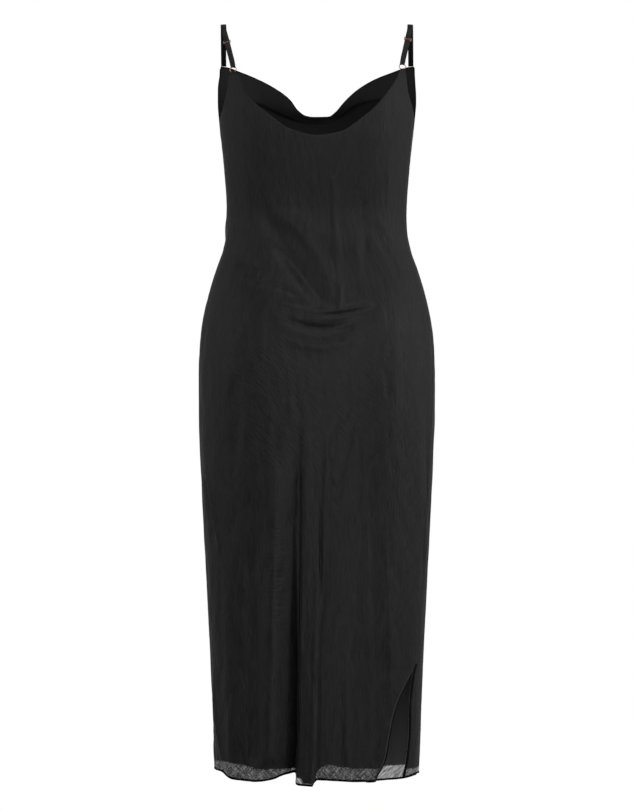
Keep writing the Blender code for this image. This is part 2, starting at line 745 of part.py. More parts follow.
def ring(side, name, material):
    bpy.ops.mesh.primitive_torus_add(
        major_radius=RING_RADIUS * MM,
        minor_radius=RING_WIRE * MM,
        major_segments=24,
        minor_segments=8,
    )
    piece = bpy.context.object
    piece.name = name
    piece.data.name = name
    piece.matrix_world = frame_matrix(side.ring_centre, side.ring_across, side.ring_up, side.ring_out)
    piece.data.materials.append(material)
    piece.data.shade_smooth()
    for collection in piece.users_collection:
        collection.objects.unlink(piece)
    parts.objects.link(piece)
    return piece


def rounded_rectangle(width, height, corner, steps):
    """Points round a rectangle whose corners are arcs."""
    outline = []
    for quarter in range(4):
        x = (width / 2 - corner) * (1 if quarter in (0, 3) else -1)
        y = (height / 2 - corner) * (1 if quarter in (0, 1) else -1)
        for step in range(steps + 1):
            angle = math.pi / 2 * (quarter + step / steps)
            outline.append((x + corner * math.cos(angle), y + corner * math.sin(angle)))
    return outline


def slider(side, name, material):
    """A flat strap adjuster: a rounded plate with two slots, which leave a bar between them."""
    curve = bpy.data.curves.new(name, "CURVE")
    curve.dimensions = "2D"
    curve.fill_mode = "BOTH"
    curve.extrude = SLIDER_PLATE / 2 * MM
    pitch = SLIDER_BAR + SLIDER_SLOT
    height = 2 * pitch + SLIDER_BAR
    outlines = [(0.0, rounded_rectangle(SLIDER_LENGTH, height, SLIDER_CORNER, 3))]
    for middle in (-pitch / 2, pitch / 2):
        slot = rounded_rectangle(SLIDER_LENGTH - 2 * SLIDER_END, SLIDER_SLOT, SLOT_CORNER, 2)
        outlines.append((middle, slot))
    for middle, outline in outlines:
        spline = curve.splines.new("POLY")
        spline.points.add(len(outline) - 1)
        for point, (x, y) in zip(spline.points, outline):
            point.co = (x * MM, (y + middle) * MM, 0, 1)
        spline.use_cyclic_u = True
    curve.materials.append(material)
    piece = bpy.data.objects.new(name, curve)
    across, down, out = side.slider_axes
    piece.matrix_world = frame_matrix(side.slider_centre, across, np.cross(out, across), out)
    parts.objects.link(piece)
    return piece


# ---------------------------------------------------------------- the dress


def finish(name, colour, roughness, metallic):
    material = bpy.data.materials.new(name)
    material.use_nodes = True
    shader = material.node_tree.nodes["Principled BSDF"]
    shader.inputs["Base Color"].default_value = colour
    shader.inputs["Roughness"].default_value = roughness
    shader.inputs["Metallic"].default_value = metallic
    material.diffuse_color = colour
    return material


for old in list(bpy.data.objects):
    bpy.data.objects.remove(old, do_unlink=True)

parts = bpy.data.collections.new("slip_dress")
bpy.context.scene.collection.children.link(parts)

satin = finish("black_crinkled_satin", CLOTH_BLACK, 0.55, 0.0)
lining = finish("black_lining", LINING_BLACK, 0.75, 0.0)
strap_cloth = finish("black_strap_satin", CLOTH_BLACK, 0.5, 0.0)
rose_gold = finish("rose_gold_plate", ROSE_GOLD, 0.25, 1.0)

panel("back_panel", False, satin)
panel("front_panel", True, satin)
lining_panel("back_lining", False, lining)
lining_panel("front_lining", True, lining)

for side_name, side in (
    ("left", Side(-1, -61.4, 241.8, 163.5, 30.0)),
    ("right", Side(1, 62.4, 117.5, 165.0, 23.5)),
):
    strap(side, "strap_" + side_name, strap_cloth)
    fabric_loop(side, "loop_" + side_name, satin)
    ring(side, "ring_" + side_name, rose_gold)
    slider(side, "slider_" + side_name, rose_gold)
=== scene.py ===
# %% [markdown]
# # A black slip dress
#
# This lesson dresses the plain solids of a midi slip dress in real cloth: a crinkled satin that the
# light comes through at the hem, an opaque lining, thin straps, and rose-gold rings and sliders.
# The dress hangs from its straps, filled out as if worn. Its back faces -Y, its cowl front faces +Y,
# and the origin is midway between the tops of the straps. Sizes are in millimetres until a mesh is
# made, and +Z is up.

import math

import bmesh
import bpy
import numpy as np
from mathutils import Matrix, Vector


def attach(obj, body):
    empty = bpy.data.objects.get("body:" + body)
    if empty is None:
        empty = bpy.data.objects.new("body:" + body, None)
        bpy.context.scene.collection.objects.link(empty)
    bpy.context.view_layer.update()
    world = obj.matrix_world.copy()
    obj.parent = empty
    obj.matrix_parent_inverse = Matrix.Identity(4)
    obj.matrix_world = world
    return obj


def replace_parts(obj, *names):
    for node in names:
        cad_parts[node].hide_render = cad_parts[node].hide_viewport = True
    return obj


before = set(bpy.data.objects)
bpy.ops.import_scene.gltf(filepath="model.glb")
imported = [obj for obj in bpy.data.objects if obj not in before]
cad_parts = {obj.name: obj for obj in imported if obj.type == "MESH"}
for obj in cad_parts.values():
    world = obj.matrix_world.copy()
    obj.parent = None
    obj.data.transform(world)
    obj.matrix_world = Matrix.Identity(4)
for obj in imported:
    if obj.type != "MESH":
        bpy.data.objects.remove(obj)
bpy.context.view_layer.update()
MM = 0.001
print("solids:", ", ".join(sorted(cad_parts)))

# %% [markdown]
# ## Smooth curves through short tables
#
# A dress is drafted from a few measured places, and a smooth line is drawn between them. The same is
# done here: each edge and section is a short table, and a monotone cubic runs through it. A plain
# spline would swing past the measured places, and this one can't.


# %% Read a table smoothly
def column(table, index):
    return np.array([row[index] for row in table], float)


def smooth(places, values, at):
    """A curve through the values that never overshoots them, level past its ends."""
    if places[0] > places[-1]:
        places, values = places[::-1], values[::-1]
    step = np.diff(places)
    rise = np.diff(values) / step
    slope = np.concatenate([rise[:1], np.zeros(len(rise) - 1), rise[-1:]])
    inner = rise[:-1] * rise[1:] > 0
    near, far = 2 * step[1:] + step[:-1], step[1:] + 2 * step[:-1]
    before = np.where(inner, rise[:-1], 1.0)
    after = np.where(inner, rise[1:], 1.0)
    slope[1:-1] = np.where(inner, (near + far) / (near / before + far / after), 0.0)
    at = np.clip(at, places[0], places[-1])
    i = np.clip(np.searchsorted(places, at) - 1, 0, len(step) - 1)
    t = (at - places[i]) / step[i]
    start = values[i] + (values[i + 1] - values[i]) * t * t * (3 - 2 * t)
    return start + step[i] * t * (1 - t) * ((1 - t) * slope[i] - t * slope[i + 1])


def follow(table, index, at):
    return smooth(column(table, 0), column(table, index), at)


def ease(low, high, at):
    """0 below low, 1 above high, and smooth between."""
    t = np.clip((at - low) / (high - low), 0, 1)
    return t * t * (3 - 2 * t)


def unit(vectors):
    return vectors / np.linalg.norm(vectors, axis=-1, keepdims=True)


# %% [markdown]
# ## The figure that the cloth hangs on
#
# Bias-cut satin clings to the bust, waist and hips and falls straight from there. The form is a stack
# of sections, each a rounded box between an ellipse and a rectangle. A place on the cloth is named by
# its turn, in degrees round from the centre back, and its height.

# %% Sections from shoulder to hem
ROUNDNESS = 2.35
YOKE = -300.0
SECTIONS = (
    # height, half_width, back, front
    (-30, 200.2, 105.0, 136.0),
    (-60, 194.7, 106.5, 142.0),
    (-85, 184.2, 110.5, 146.0),
    (-115, 175.3, 113.0, 148.5),
    (-150, 170.6, 113.3, 150.5),
    (-187, 166.1, 110.3, 151.5),
    (-225, 161.7, 104.0, 150.0),
    (-265, 158.0, 96.0, 143.0),
    (-300, 155.4, 89.0, 128.0),
    (-330, 154.3, 84.5, 115.0),
    (-355, 155.1, 83.5, 108.0),
    (-387, 161.1, 88.0, 106.5),
    (-421, 172.9, 100.0, 110.0),
    (-456, 183.8, 116.0, 115.0),
    (-490, 192.2, 129.5, 119.0),
    (-525, 198.4, 138.5, 121.5),
    (-560, 201.4, 142.5, 122.5),
    (-600, 202.9, 143.5, 122.5),
    (-660, 202.8, 142.0, 121.5),
    (-730, 200.6, 138.5, 120.0),
    (-800, 197.5, 135.0, 119.0),
    (-870, 194.1, 132.5, 118.0),
    (-940, 190.4, 131.0, 117.5),
    (-1006, 187.1, 130.0, 117.0),
    (-1075, 183.6, 129.0, 117.0),
    (-1144, 180.7, 128.5, 117.5),
    (-1213, 178.2, 128.5, 118.0),
    (-1310, 174.8, 128.5, 118.5),
)


def figure(turn, height):
    """Points of the plain figure at these turns and heights."""
    half_width = follow(SECTIONS, 1, height)
    angle = np.radians(turn)
    right, forward = np.sin(angle), -np.cos(angle)
    depth = np.where(forward < 0, follow(SECTIONS, 2, height), follow(SECTIONS, 3, height))
    share = np.abs(right / half_width) ** ROUNDNESS + np.abs(forward / depth) ** ROUNDNESS
    radius = share ** (-1 / ROUNDNESS)
    return np.stack([radius * right, radius * forward, height + 0 * radius], -1)


def level_outward(turn, height):
    """Unit vectors that point out of the figure, level."""
    along = figure(turn + 0.5, height) - figure(turn - 0.5, height)
    return unit(np.stack([along[..., 1], -along[..., 0], 0 * along[..., 2]], -1))


# %% [markdown]
# ## Edges
#
# The back has a scoop between two points that hold the rings. The front has a cowl, cut wider than
# the chest so that it falls in swags between its corners. The right side seam swings towards the
# back, as it does on a skirt cut on the bias, and opens into a slit. Both hems hang in waves.

# %% Necklines, side seam, slit and hems
BACK_TOP = (
    # turn, height
    (-90.0, -187.0), (-84.0, -176.0), (-78.9, -163.9), (-73.2, -151.3), (-67.3, -124.0),
    (-62.4, -93.5), (-59.4, -93.5), (-58.2, -98.5), (-51.5, -134.0), (-38.2, -165.7),
    (-22.7, -191.4), (-0.4, -201.9), (19.4, -196.4), (37.7, -169.1), (49.0, -140.3), (58.8, -101.5),
    (60.7, -88.5), (63.3, -88.5), (68.4, -124.0), (77.0, -152.6), (84.0, -170.0), (90.0, -187.0),
)
FRONT_TOP = (
    # turn, height
    (90.0, -187.0), (94.0, -150.0), (100.4, -121.6), (107.6, -97.7), (112.3, -78.1), (115.5, -61.0),
    (119.5, -60.5), (132.1, -68.2), (142.8, -78.6), (153.3, -95.1), (161.3, -114.0),
    (168.1, -133.2), (172.1, -139.5), (182.3, -140.1), (187.1, -138.4), (192.5, -129.7),
    (198.3, -110.4), (206.0, -95.0), (217.7, -78.7), (229.7, -66.9), (239.9, -60.3), (243.7, -60.8),
    (246.9, -77.8), (252.4, -97.7), (258.9, -121.3), (264.5, -150.0), (270.0, -187.0),
)
FACING_EDGE = (
    # turn, height
    (90.0, -206.0), (101.0, -190.0), (112.0, -152.0), (122.0, -124.0), (140.0, -115.0),
    (153.0, -120.0), (165.0, -140.0), (172.0, -150.0), (187.0, -150.0), (194.0, -146.5),
    (205.0, -136.0), (216.0, -124.0), (228.0, -118.0), (239.0, -127.0), (249.0, -156.0),
    (260.0, -192.0), (270.0, -206.0),
)
RIGHT_EDGES = (
    # height, back_turn, front_turn
    (-187, 90.0, 90.0), (-350, 86.0, 86.0), (-600, 77.0, 77.0), (-780, 74.5, 74.5),
    (-900, 77.0, 77.0), (-1000, 81.5, 81.5), (-1040, 82.0, 82.0), (-1061, 78.1, 78.1),
    (-1081, 71.8, 71.8), (-1095, 68.8, 68.8), (-1116, 63.4, 66.1), (-1148, 56.4, 64.6),
    (-1174, 53.0, 64.2), (-1207, 50.4, 64.2), (-1249, 48.0, 62.8), (-1287, 41.0, 58.7),
)
LEFT_SEAM = -90.0
SLIT_TOP = -1095.0
HEMS = (
    # turn, cloth, lining
    (-90.0, -1279.0, -1266.0), (-81.0, -1275.5, -1257.5), (-74.0, -1274.5, -1254.0),
    (-68.0, -1274.5, -1252.5), (-62.0, -1280.5, -1253.0), (-54.5, -1284.0, -1256.0),
    (-47.0, -1284.5, -1259.0), (-40.0, -1282.5, -1261.0), (-30.0, -1277.0, -1259.0),
    (-22.5, -1270.0, -1259.5), (-17.0, -1269.5, -1261.5), (-15.2, -1284.5, -1272.0),
    (-11.4, -1286.0, -1272.5), (-9.6, -1286.0, -1281.0), (-3.2, -1286.0, -1281.5),
    (-1.8, -1280.0, -1277.0), (0.5, -1276.5, -1260.5), (9.0, -1279.5, -1252.5),
    (19.0, -1281.0, -1256.5), (31.0, -1281.5, -1259.0), (37.0, -1284.5, -1261.0),
    (43.0, -1284.5, -1262.5), (50.0, -1281.0, -1263.5), (58.7, -1283.0, -1265.0),
    (72.0, -1281.0, -1269.0), (80.0, -1281.5, -1270.0), (90.0, -1286.0, -1271.0),
    (100.0, -1292.5, -1274.0), (110.0, -1303.0, -1280.0), (120.0, -1310.0, -1285.0),
    (132.0, -1315.5, -1290.0), (142.0, -1318.5, -1290.5), (162.0, -1320.0, -1289.0),
    (180.0, -1317.0, -1285.0), (190.0, -1313.0, -1281.0), (198.0, -1305.0, -1278.0),
    (206.0, -1308.0, -1278.0), (217.0, -1314.5, -1284.0), (228.0, -1316.5, -1283.0),
    (240.0, -1311.0, -1279.0), (246.0, -1304.5, -1276.5), (252.0, -1293.5, -1273.0),
    (262.0, -1284.0, -1268.0), (270.0, -1279.0, -1266.0),
)


def top_edge(turn):
    return np.where(turn > 90, follow(FRONT_TOP, 1, turn), follow(BACK_TOP, 1, turn))


# %% [markdown]
# ## Folds
#
# Three kinds of fold shape this dress. Soft ridges and troughs run where the cloth pulls or pools,
# so each is a line through three places with a width and a depth. One deep drape fold grows down the
# back skirt, a tube of cloth beside a narrow trough, so it has a profile of its own. The cowl's swags
# hang between the front corners. Each moves the cloth along the figure's outward direction, so the
# cloth can't pass through itself.

# %% Soft ridges and troughs
FOLDS = (
    # turn_a, height_a, turn_b, height_b, turn_c, height_c, width, depth_a, depth_b, depth_c
    # the cloth that pools at the small of the back
    (-36, -332, -5, -384, 14, -458, 13, 1.5, 7.5, 3),
    (-51, -318, -45, -353, -33, -377, 14, -1, -3.5, -3),
    (-46, -374, -20, -418, 3, -476, 13, -2, -8, -3.5),
    (16, -275, 24, -376, 17, -484, 5, 0.8, 2.4, 3.8),
    (-23, -488, 5, -497, 37, -482, 5, 1, 3.2, 1),
    (-27, -504, -1, -527, 25, -517, 8.5, -1, -7, -1),
    (-27, -531, -2, -555, 22, -546, 9, 0.6, 2.4, 0.6),
    (-62, -412, -52, -421, -42, -430, 8, -1, -3, -1),
    # the creases of the back skirt
    (-78, -778, -73, -815, -68, -895, 7, -1.5, -4.5, -0.5),
    (-58, -860, -59, -1040, -59, -1280, 12, 0.5, 3, 5),
    (-41, -812, -45, -1013, -49, -1280, 14, -0.5, -3, -4),
    (-23, -762, -28, -912, -34, -1280, 15, 1, 3, 4),
    (24, -820, 26, -1000, 27, -1282, 16, 0.5, 3, 5),
    (37, -812, 41, -1047, 44, -1280, 11, -0.3, -3, -5),
    (61, -654, 66, -780, 70, -880, 15, 0.5, 2.2, 0.6),
    # hip to hem on the front, and the creases under the bust
    (205, -520, 200, -850, 197, -1300, 24, 1, 9, 17),
    (188, -640, 184, -900, 182, -1300, 22, -1, -8, -15),
    (160, -500, 165, -860, 167, -1300, 26, 1, 8, 15),
    (228, -600, 222, -900, 219, -1300, 22, -1, -7, -12),
    (146, -620, 148, -900, 149, -1300, 22, -1, -7, -12),
    (247, -700, 244, -950, 243, -1290, 20, 0, 5, 8),
    (124, -700, 128, -950, 129, -1300, 20, 0, 5, 8),
    (215, -300, 196, -352, 180, -372, 14, 1, 4, 1),
    (138, -318, 158, -362, 176, -398, 14, 1, 4, 1),
    (222, -352, 202, -396, 184, -420, 13, -1, -4, -1),
    # the cowl's first crease, a bend and the hollow under it
    (216, -124, 182, -151, 150, -121, 11, 3, 8, 3),
    (214, -162, 182, -186, 152, -160, 15, -2, -6, -2),
    # from each side seam at the waist
    (272, -330, 262, -360, 250, -382, 12, 1, 4, 1),
    (100, -340, 110, -366, 122, -386, 12, 1, 4, 1),
)
# Creases that the solids leave out
SMALL_FOLDS = (
    # turn_a, height_a, turn_b, height_b, turn_c, height_c, width, depth_a, depth_b, depth_c
    # upright creases from the bodice to the waist
    (16, -275, 19.5, -385, 16, -490, 4.5, 0.5, 2.6, 1.8),
    (24, -320, 25.5, -400, 19.5, -475, 3.6, -0.3, -2.4, -0.8),
    # the diagonal fold's sharp side
    (-32, -343, -6, -392, 11, -460, 9, 0.5, 2.4, 1.2),
    (-42, -386, -19, -426, 2, -480, 9, -0.5, -2.4, -1.2),
    (30, -352, 31, -403, 26, -465, 5, -0.4, -2.2, -1.2),
    (41, -323, 39, -389, 33, -461, 4.5, 0.6, 1.6, 0.5),
    (46, -333, 47, -375, 41, -417, 5, -0.4, -2.4, -0.5),
    (57, -342, 66, -374, 74, -424, 5, 0.5, 2.2, 0.6),
    (54, -358, 59, -392, 63, -429, 5, -0.3, -1.7, -0.3),
    (-5, -262, -4, -282, -4, -302, 2.4, 0.1, 1.2, 0.1),
    (-28, -302, -28, -318, -27, -337, 2.4, 0.1, 1.0, 0.1),
    (19, -322, 21, -352, 22, -403, 2.2, 0.2, 1.0, 0.2),
    (57, -240, 61, -276, 64, -320, 3.4, 0.2, 1.2, 0.2),
    (44, -275, 45, -295, 45, -315, 2.6, 0.1, 1.1, 0.1),
    (-57, -385, -55, -397, -53, -409, 3.0, 0.1, 1.1, 0.1),
    (-50, -385, -49, -397, -46, -411, 3.0, 0.1, 1.2, 0.1),
    (-45, -382, -43, -394, -41, -404, 3.0, 0.1, 1.0, 0.1),
    (-78, -340, -68, -352, -56, -356, 6, 0.6, 1.6, 0.1),
    # level creases of the seat
    (3, -503, 19, -501, 42, -488, 2.6, -0.4, -2.4, -0.8),
    (-10, -506, 10, -510, 30, -499, 2.8, 0.5, 1.6, 0.5),
    (-21, -560, -4, -582, 14, -582, 11, -0.2, -1.0, -0.2),
    (-53, -443, -46, -445, -40, -442, 4, 0.4, 2.4, 0.4),
    (-47, -454, -33, -455, -16, -472, 3.6, -0.6, -3, -0.4),
    # the hips
    (70, -620, 72, -735, 76, -850, 6, -0.3, -2.6, -0.6),
    (71, -764, 73, -849, 76, -943, 4.5, 0.2, 2.8, 0.2),
    (-48, -578, -50, -679, -53, -779, 16, -0.4, -2.4, -0.4),
    (-74, -757, -68, -823, -64, -898, 4.5, 0.5, 5.0, 0.8),
    (-75, -1094, -75, -1176, -66, -1262, 4.5, 0.4, 3.4, 2.2),
    (-87, -1142, -87, -1202, -77, -1267, 6, -0.5, -2.4, -2.0),
    # beside the drape fold
    (-12.0, -700, -12.4, -780, -12.6, -860, 7, -0.8, -2.4, -0.2),
    (-27, -760, -29, -890, -31, -1240, 14, 0.6, 3.2, 2.8),
    (-38, -800, -42, -930, -45, -1240, 14, -0.3, -2.0, -2.6),
    (7.5, -690, 6.8, -765, 5.0, -870, 5, 0.4, 3.2, 0.8),
    (2.5, -828, 2.8, -900, 2.8, -992, 2.8, -0.6, -4.0, -0.6),
    (5.5, -848, 5.5, -915, 5.0, -1000, 3, 0.2, 1.6, 0.3),
    (9, -725, 13, -748, 17, -782, 4.2, 0.2, 1.8, 0.2),
    (10, -758, 14, -784, 18, -814, 4.0, 0.2, 2.0, 0.2),
    (11, -792, 15, -816, 20, -848, 4.2, 0.2, 1.7, 0.2),
    (12, -826, 16, -848, 20, -880, 4.0, 0.2, 1.9, 0.2),
    (28, -762, 28, -912, 26, -1046, 5, 0.3, 2.0, 0.3),
    (33, -779, 35, -979, 37, -1113, 6, 0.3, 2.0, 0.3),
    (44, -846, 48, -1014, 51, -1149, 6, 0.3, 2.0, 0.4),
    (17, -1012, 21, -1145, 23, -1280, 9, 0.2, 1.8, 2.8),
    # the front
    (207, -318, 190, -340, 172, -346, 8, 0.2, 2.2, 0.3),
    (150, -420, 164, -452, 180, -462, 9, 0.2, 1.8, 0.2),
    (212, -452, 196, -476, 178, -480, 9, 0.2, -1.8, -0.2),
    (110, -300, 122, -330, 138, -342, 7, 0.4, 1.8, 0.2),
    (250, -300, 238, -332, 224, -346, 7, 0.4, 1.8, 0.2),
    (112, -560, 114, -700, 113, -860, 11, 0.2, 2.2, 0.4),
    (256, -560, 254, -720, 255, -900, 11, 0.2, 2.2, 0.4),
    (173, -700, 174, -900, 174, -1300, 11, 0.2, 2.0, 4.0),
    (212, -800, 210, -1000, 209, -1300, 10, 0.2, 2.2, 4.0),
    (138, -900, 139, -1080, 139, -1305, 10, 0.2, -2.0, -4.0),
    (106, -980, 105, -1120, 104, -1292, 9, 0.2, 2.4, 4.0),
    (262, -980, 260, -1120, 259, -1285, 9, 0.2, 2.0, 3.6),
)
FOLD_STEPS = 24


def nearest_on(line, here):
    """How far each place is from a line of points, and the number of the point it is nearest to."""
    start, step = line[:-1], np.diff(line, axis=0)
    offset = here[..., None, :] - start
    share = np.clip((offset * step).sum(-1) / (step * step).sum(-1), 0, 1)
    distance = np.linalg.norm(offset - share[..., None] * step, axis=-1)
    nearest = distance.argmin(-1)[..., None]
    along = nearest + np.take_along_axis(share, nearest, -1)
    return distance.min(-1), along[..., 0]


def fold_push(turn, height):
    here = figure(turn, height)
    push = np.zeros(here.shape[:-1])
    t = np.linspace(0, 1, FOLD_STEPS)
    weights = np.stack([(1 - t) * (1 - 2 * t), 4 * t * (1 - t), t * (2 * t - 1)])
    for row in FOLDS + SMALL_FOLDS:
        turns = np.array(row[0:6:2], float) @ weights
        heights = np.array(row[1:6:2], float) @ weights
        depths = np.array(row[7:10], float) @ weights
        line = figure(turns, heights)
        reach = row[6] * 3
        close = np.all((here > line.min(0) - reach) & (here < line.max(0) + reach), axis=-1)
        if not close.any():
            continue
        distance, along = nearest_on(line, here[close])
        depth = np.interp(along, np.arange(FOLD_STEPS), depths)
        push[close] += depth * np.exp(-((distance / row[6]) ** 2))
    return push


# %% [markdown]
# The drape fold is a tube that no ridge of even width can give, so its profile is drawn once, across
# the fold, and then scaled, moved and deepened on the way down. A swag hangs lowest at the centre
# front and dies away towards the corners, as a rope does between two hands.

# %% The drape fold and the cowl's swags
DRAPE_PROFILE = (
    # across, push
    (-76, 0.0), (-60, 7.5), (-46, 6.0), (-33, 2.0), (-27.5, -2.0), (-23, -9.5), (-18.6, -22.0),
    (-15.8, -25.0), (-14.0, -20.0), (-12.6, 2.0), (-11, 10.0), (-5, 14.5), (3, 18.5), (9, 22.0),
    (12.5, 22.0), (16, 15.5), (19.5, 8.0), (24, 4.0), (34, 1.5), (50, 0.0),
)
DRAPE_GROWTH = (
    # height, centre, width_scale, share
    (-1310, -20.0, 1.26, 1.00), (-1283, -19.3, 1.25, 0.97), (-1211, -15.3, 1.17, 0.88),
    (-1061, -13.4, 1.16, 0.66), (-978, -9.8, 1.32, 0.48), (-878, -6.6, 1.52, 0.31),
    (-790, -4.8, 1.64, 0.15), (-700, -4.5, 1.72, 0.00),
)
COWL_SWAGS = (
    # share of the way from the top edge to the yoke, width, push
    (0.42, 0.09, 13.0),
    (0.56, 0.07, -2.0),
    (0.70, 0.11, 9.0),
)
COWL_HALF_TURN = 62.0


def drape_push(turn, height):
    across = figure(turn, height)[..., 0] - follow(DRAPE_GROWTH, 1, height)
    push = follow(DRAPE_PROFILE, 1, across / follow(DRAPE_GROWTH, 2, height))
    behind = np.cos(np.radians(turn)) > 0
    return np.where(behind, push * follow(DRAPE_GROWTH, 3, height), 0.0)


def cowl_push(turn, height):
    top = top_edge(turn)
    share = (top - height) / (top - YOKE)
    off_centre = np.clip(np.abs(turn - 180.0) / COWL_HALF_TURN, 0, 1)
    swell = np.cos(off_centre * math.pi / 2) ** 2
    push = sum(depth * np.exp(-(((share - place) / width) ** 2)) for place, width, depth in COWL_SWAGS)
    return push * swell


# %% [markdown]
# ## Crinkle
#
# This satin is washed so that it keeps shallow creases, mostly along the length of the thread. They
# turn across the seat, where the bias pulls them round. A few dozen leaning waves of different
# lengths, each fading in and out, give creases that never repeat. The finest creases are left to
# the material.

# %% Shallow creases
CREASE_SEED = 7
CREASES = 30
PITCHES, REACHES = (13, 38), (40, 140)  # least and most, across and along the creases
LEAN_SPREAD = 0.2  # radians
WANDER = 0.9  # radians that a crease swings about its line
CRINKLE, MORE_BELOW = 0.09, 0.15  # strength on the bodice, and what the skirt has more
CRINKLE_FADE = 160.0  # height over which the skirt's share comes in below the yoke
THREAD_RADIUS = 180.0  # from the middle to the cloth, about, which turns degrees into millimetres
SEAT_BOTTOM, SEAT_TOP = (-800, -720), (-545, -470)  # levels over which the seat's lean fades
SEAT_LEFT, SEAT_RIGHT = (-175, -135), (85, 150)
HEM_BAND = (-1262, -1235)
RIDGE_ACROSS, RIDGE_HALF_WIDTH = -66, 20
RIDGE_BOTTOM, RIDGE_TOP = (-1080, -1000), (-830, -770)


def thread(turn, height):
    """Where a place lies across and along the cloth."""
    return np.broadcast_arrays(np.radians(turn) * THREAD_RADIUS, height)


def leaning(turn, height):
    """How far the fine creases lean on the seat and at the hem: 0 runs down the dress, 1 leans most."""
    across = figure(turn, height)[..., 0]
    seat = ease(*SEAT_BOTTOM, height) * (1 - ease(*SEAT_TOP, height))
    hem = 1 - ease(*HEM_BAND, height)
    lean = seat * ease(*SEAT_LEFT, across) * (1 - ease(*SEAT_RIGHT, across))
    return np.maximum(lean, hem)


def lying(turn, height):
    """Where the fine creases lie level, on the ridge beside the drape fold."""
    across = figure(turn, height)[..., 0]
    beside = np.exp(-(((across - RIDGE_ACROSS) / RIDGE_HALF_WIDTH) ** 2))
    behind = np.cos(np.radians(turn)) > 0
    return beside * behind * ease(*RIDGE_BOTTOM, height) * (1 - ease(*RIDGE_TOP, height))


def crinkle_push(turn, height):
    chance = np.random.default_rng(CREASE_SEED)
    across, along = thread(turn, height)
    push = np.zeros(across.shape)
    for _ in range(CREASES):
        pitch = chance.uniform(*PITCHES)
        reach = chance.uniform(*REACHES)
        lean = chance.normal(0, LEAN_SPREAD)
        start = chance.uniform(0, 2 * math.pi, 4)
        x = across * math.cos(lean) + along * math.sin(lean)
        y = along * math.cos(lean) - across * math.sin(lean)
        wander = WANDER * np.sin(y / reach * 3 + start[0])
        fade = np.clip(np.sin(y / reach * math.pi + start[1] + x / 90), 0, 1) ** 1.5
        fade = fade * np.clip(np.sin(x / pitch * 0.9 + start[2]), 0, 1)
        push += fade * np.sin(x / pitch * 2 * math.pi + wander + start[3]) * pitch / 25
    return push * (CRINKLE + MORE_BELOW * ease(-YOKE, -YOKE + CRINKLE_FADE, -height))


# %% [markdown]
# ## Side seams
#
# Two layers of satin turned back to back make a seam a little hollow, and its thread draws the cloth
# up in small puckers. The right seam ends where the slit opens.

# %% Dip and pucker along the seams
SEAM_DIP, SEAM_HALF_WIDTH = 0.8, 1.6
PUCKER, PUCKER_REACH, PUCKER_PITCH = 0.25, 7.0, 2.9


def seam_push(turn, height):
    half_width = follow(SECTIONS, 1, height)
    left = np.abs((turn - LEFT_SEAM + 180) % 360 - 180)
    right = np.abs(turn - follow(RIGHT_EDGES, 1, height)) + 90 * (height < SLIT_TOP)
    away = np.radians(np.minimum(left, right)) * half_width
    pucker = np.sin(height / PUCKER_PITCH + 1.7 * np.sin(height / 23)) * (0.6 + 0.4 * np.sin(height / 41))
    beside = np.exp(-((away / PUCKER_REACH) ** 2)) * (1 - np.exp(-((away / 2) ** 2)))
    return PUCKER * pucker * beside - SEAM_DIP * np.exp(-((away / SEAM_HALF_WIDTH) ** 2))


def cloth(turn, height, crinkled=True):
    """Points of the satin's outer face."""
    turn, height = np.broadcast_arrays(np.asarray(turn, float), np.asarray(height, float))
    push = fold_push(turn, height) + drape_push(turn, height) + cowl_push(turn, height)
    if crinkled:
        push = push + crinkle_push(turn, height) + seam_push(turn, height)
    return figure(turn, height) + level_outward(turn, height) * push[..., None]


# %% [markdown]
# ## Columns and rows
#
# Cloth meshes look best when their columns run with the folds. The back's columns keep to the drape
# fold all the way down, and stand closer there. Rows follow the neckline at the top, are level in
# the middle and take up the wave of the hem at the bottom.

# %% Lay out the grid of each panel
WAVE_START = -1095.0
CLOTH_HEM, LINING_HEM = -1284.0, -1262.0
LINING_BELOW_EDGE = 1.6
FIRST_GATHER, LAST_GATHER = -540.0, -720.0
CHEST_RADIUS = 160.0  # from the middle to the top edge, about
STEEPEST = 3.0  # slope of the top edge that the turned edge still follows
DRAPE_TOP_TURNS = (-25.0, 19.0)


def stretch(*stops):
    """Even steps between stops, which alternate a value with the number of steps to the next one."""
    places = [np.array([stops[0]], float)]
    for steps, stop in zip(stops[1::2], stops[2::2]):
        places.append(np.linspace(places[-1][-1], stop, steps + 1)[1:])
    return np.concatenate(places)


BACK_LEFT = stretch(-90, 3, -89.2, 2, -87.5, 13, -62.4, 3, -59.4, 2, -58.2, 24, -26.1)
BACK_DRAPE = stretch(-66, 11, -26, 9, -15.5, 15, -9.5, 9, 6, 15, 21, 12, 44)
BACK_RIGHT = stretch(20, 29, 58.8, 2, 60.7, 3, 63.3, 15, 87.5, 2, 89.2, 3, 90)
FRONT_EDGE = stretch(90, 3, 90.8, 2, 92.5, 12, 114.5)
FRONT_TURNS = (
    # top_turn, hem_turn
    (115.5, 100.0), (119.5, 108.0), (148.0, 149.0), (162.0, 167.0), (176.0, 182.0), (190.0, 197.0),
    (211.0, 219.0), (232.5, 243.0), (239.9, 249.0), (243.7, 254.0), (270.0, 270.0),
)
FRONT_REST = stretch(115.5, 4, 119.5, 106, 239.9, 4, 243.7, 16, 267.5, 2, 269.2, 3, 270)


def turn_at(across, height):
    half_width = follow(SECTIONS, 1, height)
    back = follow(SECTIONS, 2, height)
    forward = back * (1 - np.abs(across / half_width) ** ROUNDNESS) ** (1 / ROUNDNESS)
    return np.degrees(np.arctan2(across, forward))


def gathered(height):
    return ease(0, 1, (FIRST_GATHER - height) / (FIRST_GATHER - LAST_GATHER))


